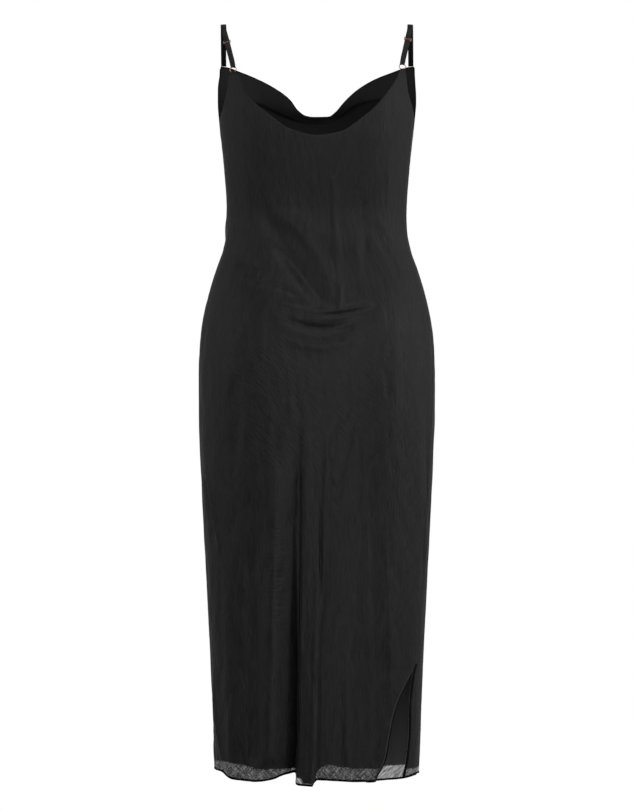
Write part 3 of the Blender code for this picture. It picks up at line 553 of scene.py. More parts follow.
def back_columns(heights):
    first, last = len(BACK_LEFT), len(BACK_LEFT) + len(BACK_DRAPE)
    z = heights[:, first:last]
    turns = np.empty(heights.shape)
    top = np.linspace(*DRAPE_TOP_TURNS, len(BACK_DRAPE))
    scale = follow(DRAPE_GROWTH, 2, z)
    fold = turn_at(follow(DRAPE_GROWTH, 1, z) + BACK_DRAPE * scale, z)
    turns[:, first:last] = top + (fold - top) * gathered(z)
    share = (BACK_LEFT + 90) / (top[0] + 90)
    turns[:, :first] = LEFT_SEAM + (turns[:, first : first + 1] - LEFT_SEAM) * share
    share = (BACK_RIGHT - top[-1]) / (90 - top[-1])
    edge = follow(RIGHT_EDGES, 1, heights[:, last:])
    start = turns[:, last - 1 : last]
    turns[:, last:] = start + (edge - start) * share
    return turns


def front_columns(heights):
    first = len(FRONT_EDGE)
    turns = np.empty(heights.shape)
    hem = smooth(column(FRONT_TURNS, 0), column(FRONT_TURNS, 1), FRONT_REST)
    turns[:, first:] = FRONT_REST + (hem - FRONT_REST) * gathered(heights[:, first:])
    share = (FRONT_EDGE - 90) / (FRONT_REST[0] - 90)
    edge = follow(RIGHT_EDGES, 2, heights[:, :first])
    turns[:, :first] = edge + (turns[:, first : first + 1] - edge) * share
    return turns


def edge_stretch(turns):
    """How much further a step straight down is than the same step square to the top edge."""
    run = np.radians(turns) * CHEST_RADIUS
    rise = np.gradient(top_edge(turns)) / np.gradient(run)
    return np.sqrt(1 + np.minimum(rise**2, STEEPEST**2))


def panel_grid(front, lining, top_rows, skirt_rows):
    """Turns and heights of a panel's vertices, a row for each row of the mesh."""
    if front:
        top_turns = np.concatenate([FRONT_EDGE, FRONT_REST])
    else:
        drape = np.linspace(*DRAPE_TOP_TURNS, len(BACK_DRAPE))
        top_turns = np.concatenate([BACK_LEFT, drape, BACK_RIGHT])
    hem_level = LINING_HEM if lining else CLOTH_HEM
    inset = LINING_BELOW_EDGE * edge_stretch(top_turns) if lining else 0.0
    shares = np.linspace(0, 1, top_rows + 1)[:-1, None]
    levels = stretch(YOKE, *skirt_rows, hem_level)[:, None]
    wave = np.clip((WAVE_START - levels) / (WAVE_START - hem_level), 0, 1)
    top = top_edge(top_turns) - inset
    hem_turns = top_turns
    # a column's hem depends on its turn there, and that on its height, so a few rounds settle both
    for _ in range(4):
        hem = follow(HEMS, 2 if lining else 1, hem_turns)
        upper = top + (YOKE - top) * shares
        lower = levels + (hem - hem_level) * wave
        heights = np.concatenate([upper, lower])
        turns = front_columns(heights) if front else back_columns(heights)
        hem_turns = turns[-1]
    return turns, heights


def grid_outward(points):
    """Unit normals of a grid of points whose rows run down and whose columns run to the right."""
    along = np.gradient(points, axis=1)
    down = np.gradient(points, axis=0)
    return unit(np.cross(down, along))


# %% [markdown]
# ## Meshes from grids
#
# Each piece of cloth is one grid of points made a mesh, with a UV map in metres that follows the
# threads. Solidify then gives it the thickness of the cloth, so that its edges catch the light.

# %% Make a mesh from a grid


def new_object(name, data):
    made = bpy.data.objects.new(name, data)
    bpy.context.scene.collection.objects.link(made)
    return made


def grid_mesh(name, points, threads=None, closed_down=False, closed_across=False):
    """A mesh through rows of points in millimetres. threads are each point's place on the cloth."""
    rows, columns = points.shape[:2]
    index = np.arange(rows * columns).reshape(rows, columns)
    if closed_down:
        index = np.concatenate([index, index[:1]])
    if closed_across:
        index = np.concatenate([index, index[:, :1]], axis=1)
    faces = np.stack([index[1:, :-1], index[1:, 1:], index[:-1, 1:], index[:-1, :-1]], -1).reshape(-1, 4)
    mesh = bpy.data.meshes.new(name)
    mesh.from_pydata((points.reshape(-1, 3) * MM).tolist(), [], faces.tolist())
    if threads is not None:
        layer = mesh.uv_layers.new(name="threads")
        corner = np.empty(len(mesh.loops), np.int32)
        mesh.loops.foreach_get("vertex_index", corner)
        layer.data.foreach_set("uv", (threads.reshape(-1, 2)[corner] * MM).astype(np.float32).ravel())
    mesh.shade_smooth()
    return new_object(name, mesh)


def thicken(piece, wall, offset=-1.0):
    solidify = piece.modifiers.new("cloth thickness", "SOLIDIFY")
    solidify.thickness = wall * MM
    solidify.offset = offset


def hang(piece):
    """Fixes a finished piece to the dress and counts its triangles."""
    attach(piece, "root")
    shown = piece.evaluated_get(bpy.context.evaluated_depsgraph_get())
    mesh = shown.to_mesh()
    mesh.calc_loop_triangles()
    print(f"{piece.name}: {len(mesh.loop_triangles)} triangles")
    shown.to_mesh_clear()


# %% [markdown]
# ## Materials
#
# One small helper adds a node, sets its inputs and links them. Colours are given as the hex values
# that a painter would pick, and one function turns them into the linear values that light needs.

# %% Node helper and colours


def linear(hex_colour):
    values = [int(hex_colour[i : i + 2], 16) / 255 for i in (1, 3, 5)]
    return tuple(v / 12.92 if v <= 0.04045 else ((v + 0.055) / 1.055) ** 2.4 for v in values) + (1.0,)


def add(tree, kind, settings=None, **inputs):
    """Adds a node. Each input is a value or the output of another node."""
    node = tree.nodes.new(kind)
    for key, value in (settings or {}).items():
        setattr(node, key, value)
    for key, value in inputs.items():
        socket = node.inputs[int(key[1:]) if key[1:].isdigit() else key.replace("_", " ")]
        if isinstance(value, bpy.types.NodeSocket):
            tree.links.new(value, socket)
        else:
            socket.default_value = value
    return node


def new_material(name):
    material = bpy.data.materials.new(name)
    material.use_nodes = True
    tree = material.node_tree
    tree.nodes.clear()
    output = tree.nodes.new("ShaderNodeOutputMaterial")
    return material, tree, output


# %% [markdown]
# ### Crinkled viscose satin
#
# Satin has a smooth face of long floats, so it is black with a soft sheen and not a shine. Washing
# leaves fine creases about 4 mm apart and 2 cm long. They run down the dress, lean nearly 50 degrees
# on the seat and lie level on the ridge of the skirt, so three stretched noises are mixed by the
# attributes "lean" and "level". Where no lining lies behind it the cloth lets a third to two thirds of
# the light through, and the attribute "sheer" marks that band. Right of the slit two such layers
# cross, and there the attribute "thin" lets more through the front's.

# %% Satin
# metres across and along
CREASE_APART, CREASE_LONG = 0.0036, 0.019
PATCH_APART, PATCH_LONG = 0.016, 0.055
FLOAT_APART, FLOAT_LONG = 0.0005, 0.0013
LEANING_TURN, LEVEL_TURN = -48, 90  # degrees from straight down


def creases(tree, uv, turned, apart, long, detail):
    """Noise stretched along one direction of the cloth."""
    turn = add(tree, "ShaderNodeMapping", Vector=uv, Rotation=(0, 0, math.radians(turned)))
    size = add(tree, "ShaderNodeMapping", Vector=turn.outputs[0], Scale=(1 / apart, 1 / long, 1))
    noise = add(tree, "ShaderNodeTexNoise", Vector=size.outputs[0], Scale=1.0, Detail=detail,
                Roughness=0.6, Distortion=0.5)
    return noise.outputs["Fac"]


def satin(name, dark, light, sheer, glossy=0.16):
    material, tree, output = new_material(name)
    uv = add(tree, "ShaderNodeUVMap", {"uv_map": "threads"}).outputs[0]
    lean = add(tree, "ShaderNodeAttribute", {"attribute_name": "lean"}).outputs["Fac"]
    level = add(tree, "ShaderNodeAttribute", {"attribute_name": "level"}).outputs["Fac"]
    down = creases(tree, uv, 0, CREASE_APART, CREASE_LONG, 2.0)
    leant = creases(tree, uv, LEANING_TURN, CREASE_APART, CREASE_LONG, 2.0)
    lying_down = creases(tree, uv, LEVEL_TURN, CREASE_APART, CREASE_LONG, 2.0)
    two = add(tree, "ShaderNodeMix", {"data_type": "FLOAT"}, _0=lean, _2=down, _3=leant)
    crinkle = add(tree, "ShaderNodeMix", {"data_type": "FLOAT"}, _0=level, _2=two.outputs[0],
                  _3=lying_down).outputs[0]
    patches = creases(tree, uv, 0, PATCH_APART, PATCH_LONG, 2.0)
    # threads about 0.5 mm apart, twice the real spacing so that a close view shows them
    floats = creases(tree, uv, 0, FLOAT_APART, FLOAT_LONG, 0.0)
    fine = add(tree, "ShaderNodeMapRange", Value=crinkle, From_Min=0.3, From_Max=0.7)
    broad = add(tree, "ShaderNodeMapRange", Value=patches, From_Min=0.3, From_Max=0.7)
    both = add(tree, "ShaderNodeMath", {"operation": "MULTIPLY"}, _0=fine.outputs[0], _1=0.55)
    mottled = add(tree, "ShaderNodeMath", {"operation": "MULTIPLY_ADD"}, _0=broad.outputs[0], _1=0.45,
                  _2=both.outputs[0])
    colour = add(tree, "ShaderNodeMix", {"data_type": "RGBA"}, _0=mottled.outputs[0],
                 _6=linear(dark), _7=linear(light))
    gloss = add(tree, "ShaderNodeMapRange", Value=patches, From_Min=0.3, From_Max=0.7, To_Min=0.40,
                To_Max=0.52)
    height = add(tree, "ShaderNodeMath", {"operation": "MULTIPLY_ADD"}, _0=patches, _1=1.4, _2=crinkle)
    creased = add(tree, "ShaderNodeBump", Strength=0.8, Distance=0.0011, Height=height.outputs[0])
    woven = add(tree, "ShaderNodeBump", Strength=0.2, Distance=0.00006, Height=floats,
                Normal=creased.outputs[0])
    shader = add(tree, "ShaderNodeBsdfPrincipled", Base_Color=colour.outputs[2],
                 Roughness=gloss.outputs[0], Normal=woven.outputs[0], IOR=1.5,
                 Specular_IOR_Level=glossy, Sheen_Weight=0.03, Sheen_Roughness=0.4)
    if sheer:
        bare = add(tree, "ShaderNodeAttribute", {"attribute_name": "sheer"})
        # more light comes through between the creases
        thin = add(tree, "ShaderNodeAttribute", {"attribute_name": "thin"}).outputs["Fac"]
        least = add(tree, "ShaderNodeMapRange", Value=thin, To_Min=0.32, To_Max=0.16)
        most = add(tree, "ShaderNodeMapRange", Value=thin, To_Min=0.68, To_Max=0.5)
        mottle = add(tree, "ShaderNodeMapRange", Value=crinkle, From_Min=0.33, From_Max=0.67,
                     To_Min=least.outputs[0], To_Max=most.outputs[0])
        cover = add(tree, "ShaderNodeMix", {"data_type": "FLOAT"}, _0=bare.outputs["Fac"], _2=1.0,
                    _3=mottle.outputs[0])
        tree.links.new(cover.outputs[0], shader.inputs["Alpha"])
    tree.links.new(shader.outputs[0], output.inputs["Surface"])
    return material


black_satin = satin("crinkled viscose satin", "#080808", "#181818", True)
strap_satin = satin("folded satin of the straps", "#0c0c0c", "#171717", False)
# painted shade: the rolls are near black and less glossy than the satin, so they read as thin dark lines
roll_satin_painted_shade = satin("rolled hem satin in painted shade", "#010101", "#040404", False, 0.03)
# painted highlight: the back's turned top edge is lighter than the satin, a light line along the neckline
edge_satin_painted_highlight = satin("turned edge satin with painted highlight", "#151515", "#272727", False, 0.0)
# painted highlight: lighter satin on the back's slit roll, a light line down the slit's edge
slit_satin_painted_highlight = satin("slit roll satin with painted highlight", "#202020", "#343434", False, 0.1)
seam_thread = satin("polyester thread", "#0a0a0a", "#1a1a1a", False)

# %% [markdown]
# ### Lining
#
# The lining is a plain woven viscose, opaque and more matt than the satin, so its inside reads as a
# deeper black. Low in the skirt daylight comes through both cloths and lights the inside. The model's
# satin stops that light, so that light is painted into the lining's colour, which grows lighter
# towards the hem.

# %% Lining
WRINKLE_APART, WRINKLE_LONG, WEAVE_APART = 0.011, 0.03, 0.0006  # metres
PAINTED_LIGHT_FROM, PAINTED_LIGHT_TO = -1.0, -1.1  # metres, the levels over which the painted light in the lining's colour rises


def matt_cloth(name, dark, light, painted_light_colour):
    material, tree, output = new_material(name)
    uv = add(tree, "ShaderNodeUVMap", {"uv_map": "threads"})
    wrinkles = add(tree, "ShaderNodeMapping", Vector=uv.outputs[0],
                   Scale=(1 / WRINKLE_APART, 1 / WRINKLE_LONG, 1))
    wrinkle = add(tree, "ShaderNodeTexNoise", Vector=wrinkles.outputs[0], Scale=1.0, Detail=2.0)
    # coarser than the real weave, so that a close view shows it
    weave = add(tree, "ShaderNodeMapping", Vector=uv.outputs[0],
                Scale=(1 / WEAVE_APART, 1 / WEAVE_APART, 1))
    threads = add(tree, "ShaderNodeTexNoise", Vector=weave.outputs[0], Scale=1.0, Detail=1.0)
    creased = add(tree, "ShaderNodeBump", Strength=0.5, Distance=0.0008, Height=wrinkle.outputs["Fac"])
    woven = add(tree, "ShaderNodeBump", Strength=0.3, Distance=0.0001, Height=threads.outputs["Fac"],
                Normal=creased.outputs[0])
    tone = add(tree, "ShaderNodeMix", {"data_type": "RGBA"}, _0=threads.outputs["Fac"],
               _6=linear(dark), _7=linear(light))
    place = add(tree, "ShaderNodeTexCoord").outputs["Object"]
    level = add(tree, "ShaderNodeSeparateXYZ", Vector=place).outputs["Z"]
    # painted light: the colour grows lighter towards the hem, for daylight coming through the skirt
    low = add(tree, "ShaderNodeMapRange", Value=level, From_Min=PAINTED_LIGHT_FROM, From_Max=PAINTED_LIGHT_TO)
    lit = add(tree, "ShaderNodeMix", {"data_type": "RGBA"}, _0=low.outputs[0], _6=tone.outputs[2],
              _7=linear(painted_light_colour))
    shader = add(tree, "ShaderNodeBsdfPrincipled", Base_Color=lit.outputs[2], Roughness=0.62,
                 Normal=woven.outputs[0], Specular_IOR_Level=0.06)
    tree.links.new(shader.outputs[0], output.inputs["Surface"])
    return material


# the last colour of each is painted light, reached low in the skirt
black_lining = matt_cloth("plain viscose lining", "#090909", "#131313", "#5c5c5c")
satin_back = matt_cloth("wrong side of the satin", "#121212", "#202020", "#5c5c5c")

# %% [markdown]
# ### Rose-gold plate
#
# The rings and sliders are zinc, tumbled smooth and plated in rose gold. Handling leaves fine
# scratches, which break up the reflections a little.

# %% Rose gold
SCRATCHES = (2600, 700, 700)  # to a metre


def rose_gold_plate():
    material, tree, output = new_material("rose-gold plated zinc")
    place = add(tree, "ShaderNodeTexCoord")
    scratches = add(tree, "ShaderNodeMapping", Vector=place.outputs["Object"], Scale=SCRATCHES)
    scratch = add(tree, "ShaderNodeTexNoise", Vector=scratches.outputs[0], Scale=1.0, Detail=2.0)
    gloss = add(tree, "ShaderNodeMapRange", Value=scratch.outputs["Fac"], From_Min=0.3, From_Max=0.7,
                To_Min=0.22, To_Max=0.36)
    tone = add(tree, "ShaderNodeMix", {"data_type": "RGBA"}, _0=scratch.outputs["Fac"],
               _6=linear("#9a6a5c"), _7=linear("#c49080"))
    worn = add(tree, "ShaderNodeBump", Strength=0.15, Distance=0.00003, Height=scratch.outputs["Fac"])
    shader = add(tree, "ShaderNodeBsdfPrincipled", Base_Color=tone.outputs[2], Metallic=1.0,
                 Roughness=gloss.outputs[0], Normal=worn.outputs[0])
    tree.links.new(shader.outputs[0], output.inputs["Surface"])
    return material


rose_gold = rose_gold_plate()

# %% [markdown]
# ## The satin panels
#
# The satin is turned over the top edge and down inside, where it meets the lining. In the cowl it
# goes further down as a facing, because the inside of the cowl is seen. So the first rows start
# inside, climb, roll over the edge and run down the outside to the hem.

# %% Cut the satin
SATIN_WALL = 0.35
ROLL_RADIUS = 0.8
TURNED_IN = 2.6  # least depth of the cloth turned inside, square to the edge
FACING_ROWS = (1.0, 0.85, 0.7, 0.55, 0.4, 0.28, 0.18, 0.1, 0.04)  # shares of that depth
ROLL_STEPS = 4
SATIN_TOP_ROWS, SATIN_SKIRT_ROWS = 44, (28, -430, 64, -570, 68, -930, 44, -1240, 17)
SHEER_FADE = 1.2


def satin_panel(name, front):
    turns, heights = panel_grid(front, False, SATIN_TOP_ROWS, SATIN_SKIRT_ROWS)
    points = cloth(turns, heights)
    outward = grid_outward(points)
    rows = []
    deepest = heights[0] - TURNED_IN * edge_stretch(turns[0])
    if front:
        deepest = np.minimum(deepest, follow(FACING_EDGE, 1, turns[0]))
    inside_heights = heights[0] + (deepest - heights[0]) * np.array(FACING_ROWS)[:, None]
    inside = cloth(np.broadcast_to(turns[0], inside_heights.shape), inside_heights)
    rows.extend(inside + grid_outward(inside) * ROLL_RADIUS * 2)
    for angle in np.linspace(math.pi, 0, ROLL_STEPS + 2)[1:-1]:
        lift = np.array([0, 0, ROLL_RADIUS * math.sin(angle)])
        rows.append(points[0] - outward[0] * ROLL_RADIUS * (1 - math.cos(angle)) + lift)
    rows = np.concatenate([np.array(rows), points])
    extra = len(rows) - len(points)
    across, along = thread(np.concatenate([np.repeat(turns[:1], extra, 0), turns]),
                           np.concatenate([np.repeat(heights[:1], extra, 0), heights]))
    threads = np.stack([across, along], -1)
    piece = grid_mesh(name, rows, threads)
    bare = ease(0.0, SHEER_FADE, follow(HEMS, 2, turns) - heights)
    # two sheer layers cross right of the slit, and the front's is made thinner there
    thin = (turns < 100) * 1.0 if front else 0 * turns
    for attribute, values in (("sheer", bare), ("thin", thin), ("lean", leaning(turns, heights)),
                              ("level", lying(turns, heights))):
        values = np.concatenate([np.repeat(values[:1], extra, 0), values])
        layer = piece.data.attributes.new(attribute, "FLOAT", "POINT")
        layer.data.foreach_set("value", values.astype(np.float32).ravel())
    thicken(piece, SATIN_WALL)
    piece.data.materials.append(black_satin)
    # the roll of the turned top edge is painted: shade (near black) on the front, a highlight (lighter
    # satin) on the back
    piece.data.materials.append(roll_satin_painted_shade if front else edge_satin_painted_highlight)
    piece.data.materials.append(satin_back)
    slots = np.zeros(len(piece.data.polygons), np.int32)
    slots[: (extra - 1) * (rows.shape[1] - 1)] = 1
    slots[: (len(FACING_ROWS) - 1) * (rows.shape[1] - 1)] = 2
    piece.data.polygons.foreach_set("material_index", slots)
    hang(piece)
    return piece, heights, points, outward


back_satin, *back_form = satin_panel("back_satin", False)
front_satin, *front_form = satin_panel("front_satin", True)
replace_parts(back_satin, "back_panel")
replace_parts(front_satin, "front_panel")

# %% [markdown]
# ## The lining
#
# The lining hangs just inside the satin and stops short of its hem, by about 16 mm on the back and
# 29 mm on the front. Its top edge is sewn under the satin's turned edge.

# %% Cut the lining
LINING_WALL = 0.25
LINING_IN = 0.7
LINING_TOP_ROWS, LINING_SKIRT_ROWS = 40, (20, -430, 40, -570, 70, -1220, 16)


def lining_panel(name, front):
    turns, heights = panel_grid(front, True, LINING_TOP_ROWS, LINING_SKIRT_ROWS)
    points = cloth(turns, heights)
    outward = grid_outward(points)
    across, along = thread(turns, heights)
    piece = grid_mesh(name, points - outward * LINING_IN, np.stack([across, along], -1))
    thicken(piece, LINING_WALL)
    piece.data.materials.append(black_lining)
    hang(piece)
    return piece


back_inner = lining_panel("back_inner", False)
front_inner = lining_panel("front_inner", True)
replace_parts(back_inner, "back_lining")
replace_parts(front_inner, "front_lining")

# %% [markdown]
# ## Rolled hems
#
# The bottom edges and both edges of the slit are rolled narrow: the raw edge is turned twice and
# stitched, so it is four layers thick and lets no light through. Its near-black colour is painted
# shade, which makes it a thin dark line under the sheer band; the half of the back's slit roll that
# lies on the cloth has a painted highlight instead. The slit's edges are turned wider, because they go
# on from the side seam's allowance. Each roll is a flat oval swept along the edge of its panel.

# %% Roll the hems
HEM_HALF_HEIGHT, HEM_HALF_WALL = 1.8, 0.6
SLIT_HALF_HEIGHTS = {False: 2.6, True: 3.6}  # the slit's edges, of the back and of the front
HEM_SIDES = 12
PAST_EDGE = 0.3  # how far a roll covers the cloth's edge and passes it
STITCH_BELOW = 0.5  # how far inside the roll's height its stitches run
STITCH_OUT = 0.22  # from the face of the cloth


def rolled_edge(edge, outward, beyond, half_height):
    """Rows of points round a flat oval that covers this edge, with a last row at each end's middle."""
    beyond = unit(beyond)
    middle = edge - outward * SATIN_WALL / 2 - beyond * (half_height - PAST_EDGE)
    angles = np.linspace(0, 2 * math.pi, HEM_SIDES + 1)[:-1]
    ring = beyond[:, None] * np.cos(angles)[:, None] * half_height
    ring = ring + outward[:, None] * np.sin(angles)[:, None] * HEM_HALF_WALL + middle[:, None]
    ends = [np.repeat(middle[i][None], HEM_SIDES, 0)[None] for i in (0, -1)]
    return np.concatenate([ends[0], ring, ends[1]])


def facing_out(piece):
    """Merges the points of closed ends and turns every face outwards."""
    shape = bmesh.new()
    shape.from_mesh(piece.data)
    bmesh.ops.remove_doubles(shape, verts=shape.verts, dist=1e-7)
    bmesh.ops.recalc_face_normals(shape, faces=shape.faces)
    shape.to_mesh(piece.data)
    shape.free()
    piece.data.shade_smooth()


def joined(name, pieces):
    """One object from several, which all sit at the origin."""
    shape = bmesh.new()
    for piece in pieces:
        shape.from_mesh(piece.data)
    shape.to_mesh(pieces[0].data)
    shape.free()
    for piece in pieces[1:]:
        bpy.data.objects.remove(piece)
    pieces[0].name = name
    return pieces[0]


def slit_rows(heights):
    """Rows of a panel below the top of the slit."""
    return slice(int(np.argmax(heights < SLIT_TOP)) - 1, None)


def rolled_hem(name, form, front):
    heights, points, outward = form
    column_of = 0 if front else -1
    inner = 1 if front else -2
    open_rows = slit_rows(heights[:, column_of])
    runs = (
        (points[-1], outward[-1], points[-1] - points[-2]),
        (points[open_rows, column_of], outward[open_rows, column_of],
         points[open_rows, column_of] - points[open_rows, inner]),
    )
    pieces = []
    for at_slit, (edge, out, beyond) in enumerate(runs):
        half_height = SLIT_HALF_HEIGHTS[front] if at_slit else HEM_HALF_HEIGHT
        rows = rolled_edge(edge, out, beyond, half_height)
        down = np.concatenate([[0], np.cumsum(np.linalg.norm(np.diff(rows[:, 0], axis=0), axis=-1))])
        around = np.linspace(0, 5, HEM_SIDES)
        threads = np.stack(np.broadcast_arrays(around[None], down[:, None]), -1)
        roll = grid_mesh(name, rows, threads, closed_across=True)
        # on the back, the half of the slit's roll that lies on the cloth takes lighter satin, a painted
        # highlight where it catches the light
        side = (np.arange(len(roll.data.polygons)) % HEM_SIDES + 0.5) / HEM_SIDES
        on_cloth = np.cos(2 * math.pi * side) < 0.1
        roll.data.polygons.foreach_set("material_index", (on_cloth * at_slit).astype(np.int32))
        facing_out(roll)
        pieces.append(roll)
    hem = joined(name, pieces)
    hem.data.materials.append(roll_satin_painted_shade)
    hem.data.materials.append(roll_satin_painted_shade if front else slit_satin_painted_highlight)
    hang(hem)
    return hem, runs


back_hem, back_runs = rolled_hem("back_hem", back_form, False)
front_hem, front_runs = rolled_hem("front_hem", front_form, True)

# %% [markdown]
# ## Stitches
#
# A stitch is one small bead of thread, and hundreds of them follow each hem. Geometry Nodes repeat
# it: the tree turns a path into points at the stitch length, puts a bead on each, and ends in real
# mesh with the thread's material.

# %% A tree that sews along a path
STITCH_SIZES = {"Spacing": 2.4, "Length": 1.7, "Thickness": 0.3}  # millimetres
STITCH_SEED = 11


def stitch_tree():
    tree = bpy.data.node_groups.new("stitches along a path", "GeometryNodeTree")
    face = tree.interface
    face.new_socket("Path", in_out="INPUT", socket_type="NodeSocketGeometry")
    inputs = {}
    for name, value in STITCH_SIZES.items():
        socket = face.new_socket(name, in_out="INPUT", socket_type="NodeSocketFloat")
        inputs[socket.identifier] = value * MM
    seed = face.new_socket("Seed", in_out="INPUT", socket_type="NodeSocketInt")
    inputs[seed.identifier] = STITCH_SEED
    face.new_socket("Stitches", in_out="OUTPUT", socket_type="NodeSocketGeometry")
    given = tree.nodes.new("NodeGroupInput").outputs
    curve = add(tree, "GeometryNodeMeshToCurve", Mesh=given["Path"])
    points = add(tree, "GeometryNodeCurveToPoints", {"mode": "LENGTH"}, Curve=curve.outputs[0],
                 Length=given["Spacing"])
    bead = add(tree, "GeometryNodeMeshUVSphere", Segments=6, Rings=4, Radius=0.5)
    size = add(tree, "ShaderNodeCombineXYZ", X=given["Thickness"], Y=given["Thickness"],
               Z=given["Length"])
    shaped = add(tree, "GeometryNodeTransform", Geometry=bead.outputs[0], Scale=size.outputs[0])
    vary = add(tree, "FunctionNodeRandomValue", {"data_type": "FLOAT"}, _2=0.85, _3=1.1,
               Seed=given["Seed"])
    sewn = add(tree, "GeometryNodeInstanceOnPoints", Points=points.outputs["Points"],
               Instance=shaped.outputs[0], Rotation=points.outputs["Rotation"],
               Scale=vary.outputs[1])
    real = add(tree, "GeometryNodeRealizeInstances", Geometry=sewn.outputs[0])
    smooth_faces = add(tree, "GeometryNodeSetShadeSmooth", Geometry=real.outputs[0])
    inked = add(tree, "GeometryNodeSetMaterial", Geometry=smooth_faces.outputs[0])
    inked.inputs["Material"].default_value = seam_thread
    result = tree.nodes.new("NodeGroupOutput")
    tree.links.new(inked.outputs[0], result.inputs[0])
    return tree, inputs


sewing, sewing_inputs = stitch_tree()


def sew(name, paths):
    """Stitches along paths of points in millimetres, as one plain mesh."""
    mesh = bpy.data.meshes.new(name + "_path")
    points, edges = [], []
    for path in paths:
        start = len(points)
        points.extend((np.asarray(path) * MM).tolist())
        edges.extend((i, i + 1) for i in range(start, len(points) - 1))
    mesh.from_pydata(points, edges, [])
    guide = new_object(name + "_path", mesh)
    modifier = guide.modifiers.new("sewing", "NODES")
    modifier.node_group = sewing
    for identifier, value in sewing_inputs.items():
        modifier[identifier] = value
    sewn = bpy.data.meshes.new_from_object(guide.evaluated_get(bpy.context.evaluated_depsgraph_get()))
    bpy.data.objects.remove(guide)
    piece = new_object(name, sewn)
    hang(piece)
    return piece


def above_hem(runs, front):
    """Lines just above each roll, on the face of the cloth."""
    lines = []
    for (edge, outward, beyond), half_height in zip(runs, (HEM_HALF_HEIGHT, SLIT_HALF_HEIGHTS[front])):
        lines.append(edge - unit(beyond) * (2 * half_height - STITCH_BELOW) + outward * STITCH_OUT)
    return lines


back_hem_stitches = sew("back_hem_stitches", above_hem(back_runs, False))
front_hem_stitches = sew("front_hem_stitches", above_hem(front_runs, True))

# %% [markdown]
# ## Straps
#
# Each strap is a strip of satin folded flat and turned, about 9 mm wide. It is sewn inside the front corner,
# runs over the shoulder and through a slider, passes through the ring and comes back up inside to
# the slider. The ring draws it in a little. Its path is a few rows of points, and a smooth curve
# through them makes the rest.

# %% Where each strap runs
STRAP_WIDTH, STRAP_AT_RING = 9.2, 8.7
STRAP_WALL = 0.9
STRAP_TOP_ACROSS, STRAP_BACK_ACROSS = 161.0, 159.0
SHOULDER_FRONT, SHOULDER_BACK = 35.0, 30.0  # radii of the shoulder's curve
SHOULDER_DROP_FRONT, SHOULDER_DROP_BACK = 38.3, 51.5  # degrees that a strap slopes off the shoulder
CORNER_YAW = 8.0  # degrees that a strap's end faces outwards at the front corner
CORNER_LIFT = 1.25
RING_RADIUS, RING_WIRE = 5.4, 0.7
RING_LEAN, RING_YAW = 18.0, 8.0  # degrees
RING_ABOVE_POINT = 1.3
SLIDER_LENGTH, SLIDER_BAR, SLIDER_SLOT, SLIDER_PLATE = 12.6, 0.9, 2.2, 0.9
SLIDER_PITCH = SLIDER_BAR + SLIDER_SLOT
SLIDER_CORNER, SLOT_CORNER, SLIDER_END = 1.4, 0.5, 1.1  # radii, and the metal past a slot's end
SLIDER_EDGE = 0.22  # radius of its tumbled edges
WIRE_CLEARANCE, PLATE_CLEARANCE = 0.05, 0.08
TAPER = 30.0  # length over which the strap narrows towards the ring
STACK = 3.6  # from the outer face of the satin to the inner face of the solids' lining
RIBBON_COLUMNS = 9
LOOP_HALF_ARC, LOOP_HALF_TURN = 38.0, 1.3  # degrees round the ring, and on the panel
LOOP_WALL = 0.6
WIRE_ROWS = range(0, 181, 20)  # degrees round the wire


def plain_outward(turn, height):
    """Unit normals of the cloth, without its creases."""
    along = cloth(turn + 0.33, height, False) - cloth(turn - 0.33, height, False)
    upward = cloth(turn, height + 1, False) - cloth(turn, height - 1, False)
    return unit(np.cross(along, upward))


class StrapSide:
    """The places that one strap's pieces share. sign is -1 on the wearer's left and 1 on the right."""

    def __init__(self, sign, point_turn, corner_turn, corner_across, slider_down):
        self.sign, self.point_turn, self.slider_down = sign, point_turn, slider_down
        turn = np.array([point_turn])
        self.point_height = top_edge(turn)[0]
        middle = (cloth(turn, self.point_height, False)
                  - plain_outward(turn, self.point_height) * STACK / 2)[0]
        corner = np.array([corner_turn])
        height = top_edge(corner)
        self.corner = (cloth(corner, height, False) - plain_outward(corner, height) * STACK / 2)[0]
        self.corner[0] = corner_across * sign
        yaw, lean = math.radians(RING_YAW), math.radians(RING_LEAN)
        self.across = np.array([math.cos(yaw), sign * math.sin(yaw), 0.0])
        level = np.array([sign * math.sin(yaw), -math.cos(yaw), 0.0])
        self.up = np.array([0, 0, math.cos(lean)]) - level * math.sin(lean)
        self.out = np.cross(self.across, self.up)
        self.centre = middle + np.array([0, 0, RING_ABOVE_POINT]) + self.up * RING_RADIUS
        self.top = self.centre + self.up * RING_RADIUS

    def round_wire(self, around, upwards, wall, half_arc):
        """A row of points on cloth that passes round the wire, around degrees from its outer side."""
        arcs = np.radians(np.linspace(-half_arc, half_arc, RIBBON_COLUMNS))[:, None]
        radial = self.up * (1 if upwards else -1) * np.cos(arcs) + self.across * np.sin(arcs)
        reach = RING_WIRE + WIRE_CLEARANCE + wall / 2
        around = math.radians(around)
        place = self.centre + radial * (RING_RADIUS - reach * math.sin(around))
        return place + self.out * reach * math.cos(around)


def ribbon_row(middle, across, width):
    shares = np.linspace(-0.5, 0.5, RIBBON_COLUMNS)[:, None]
    return middle + unit(across) * width * shares


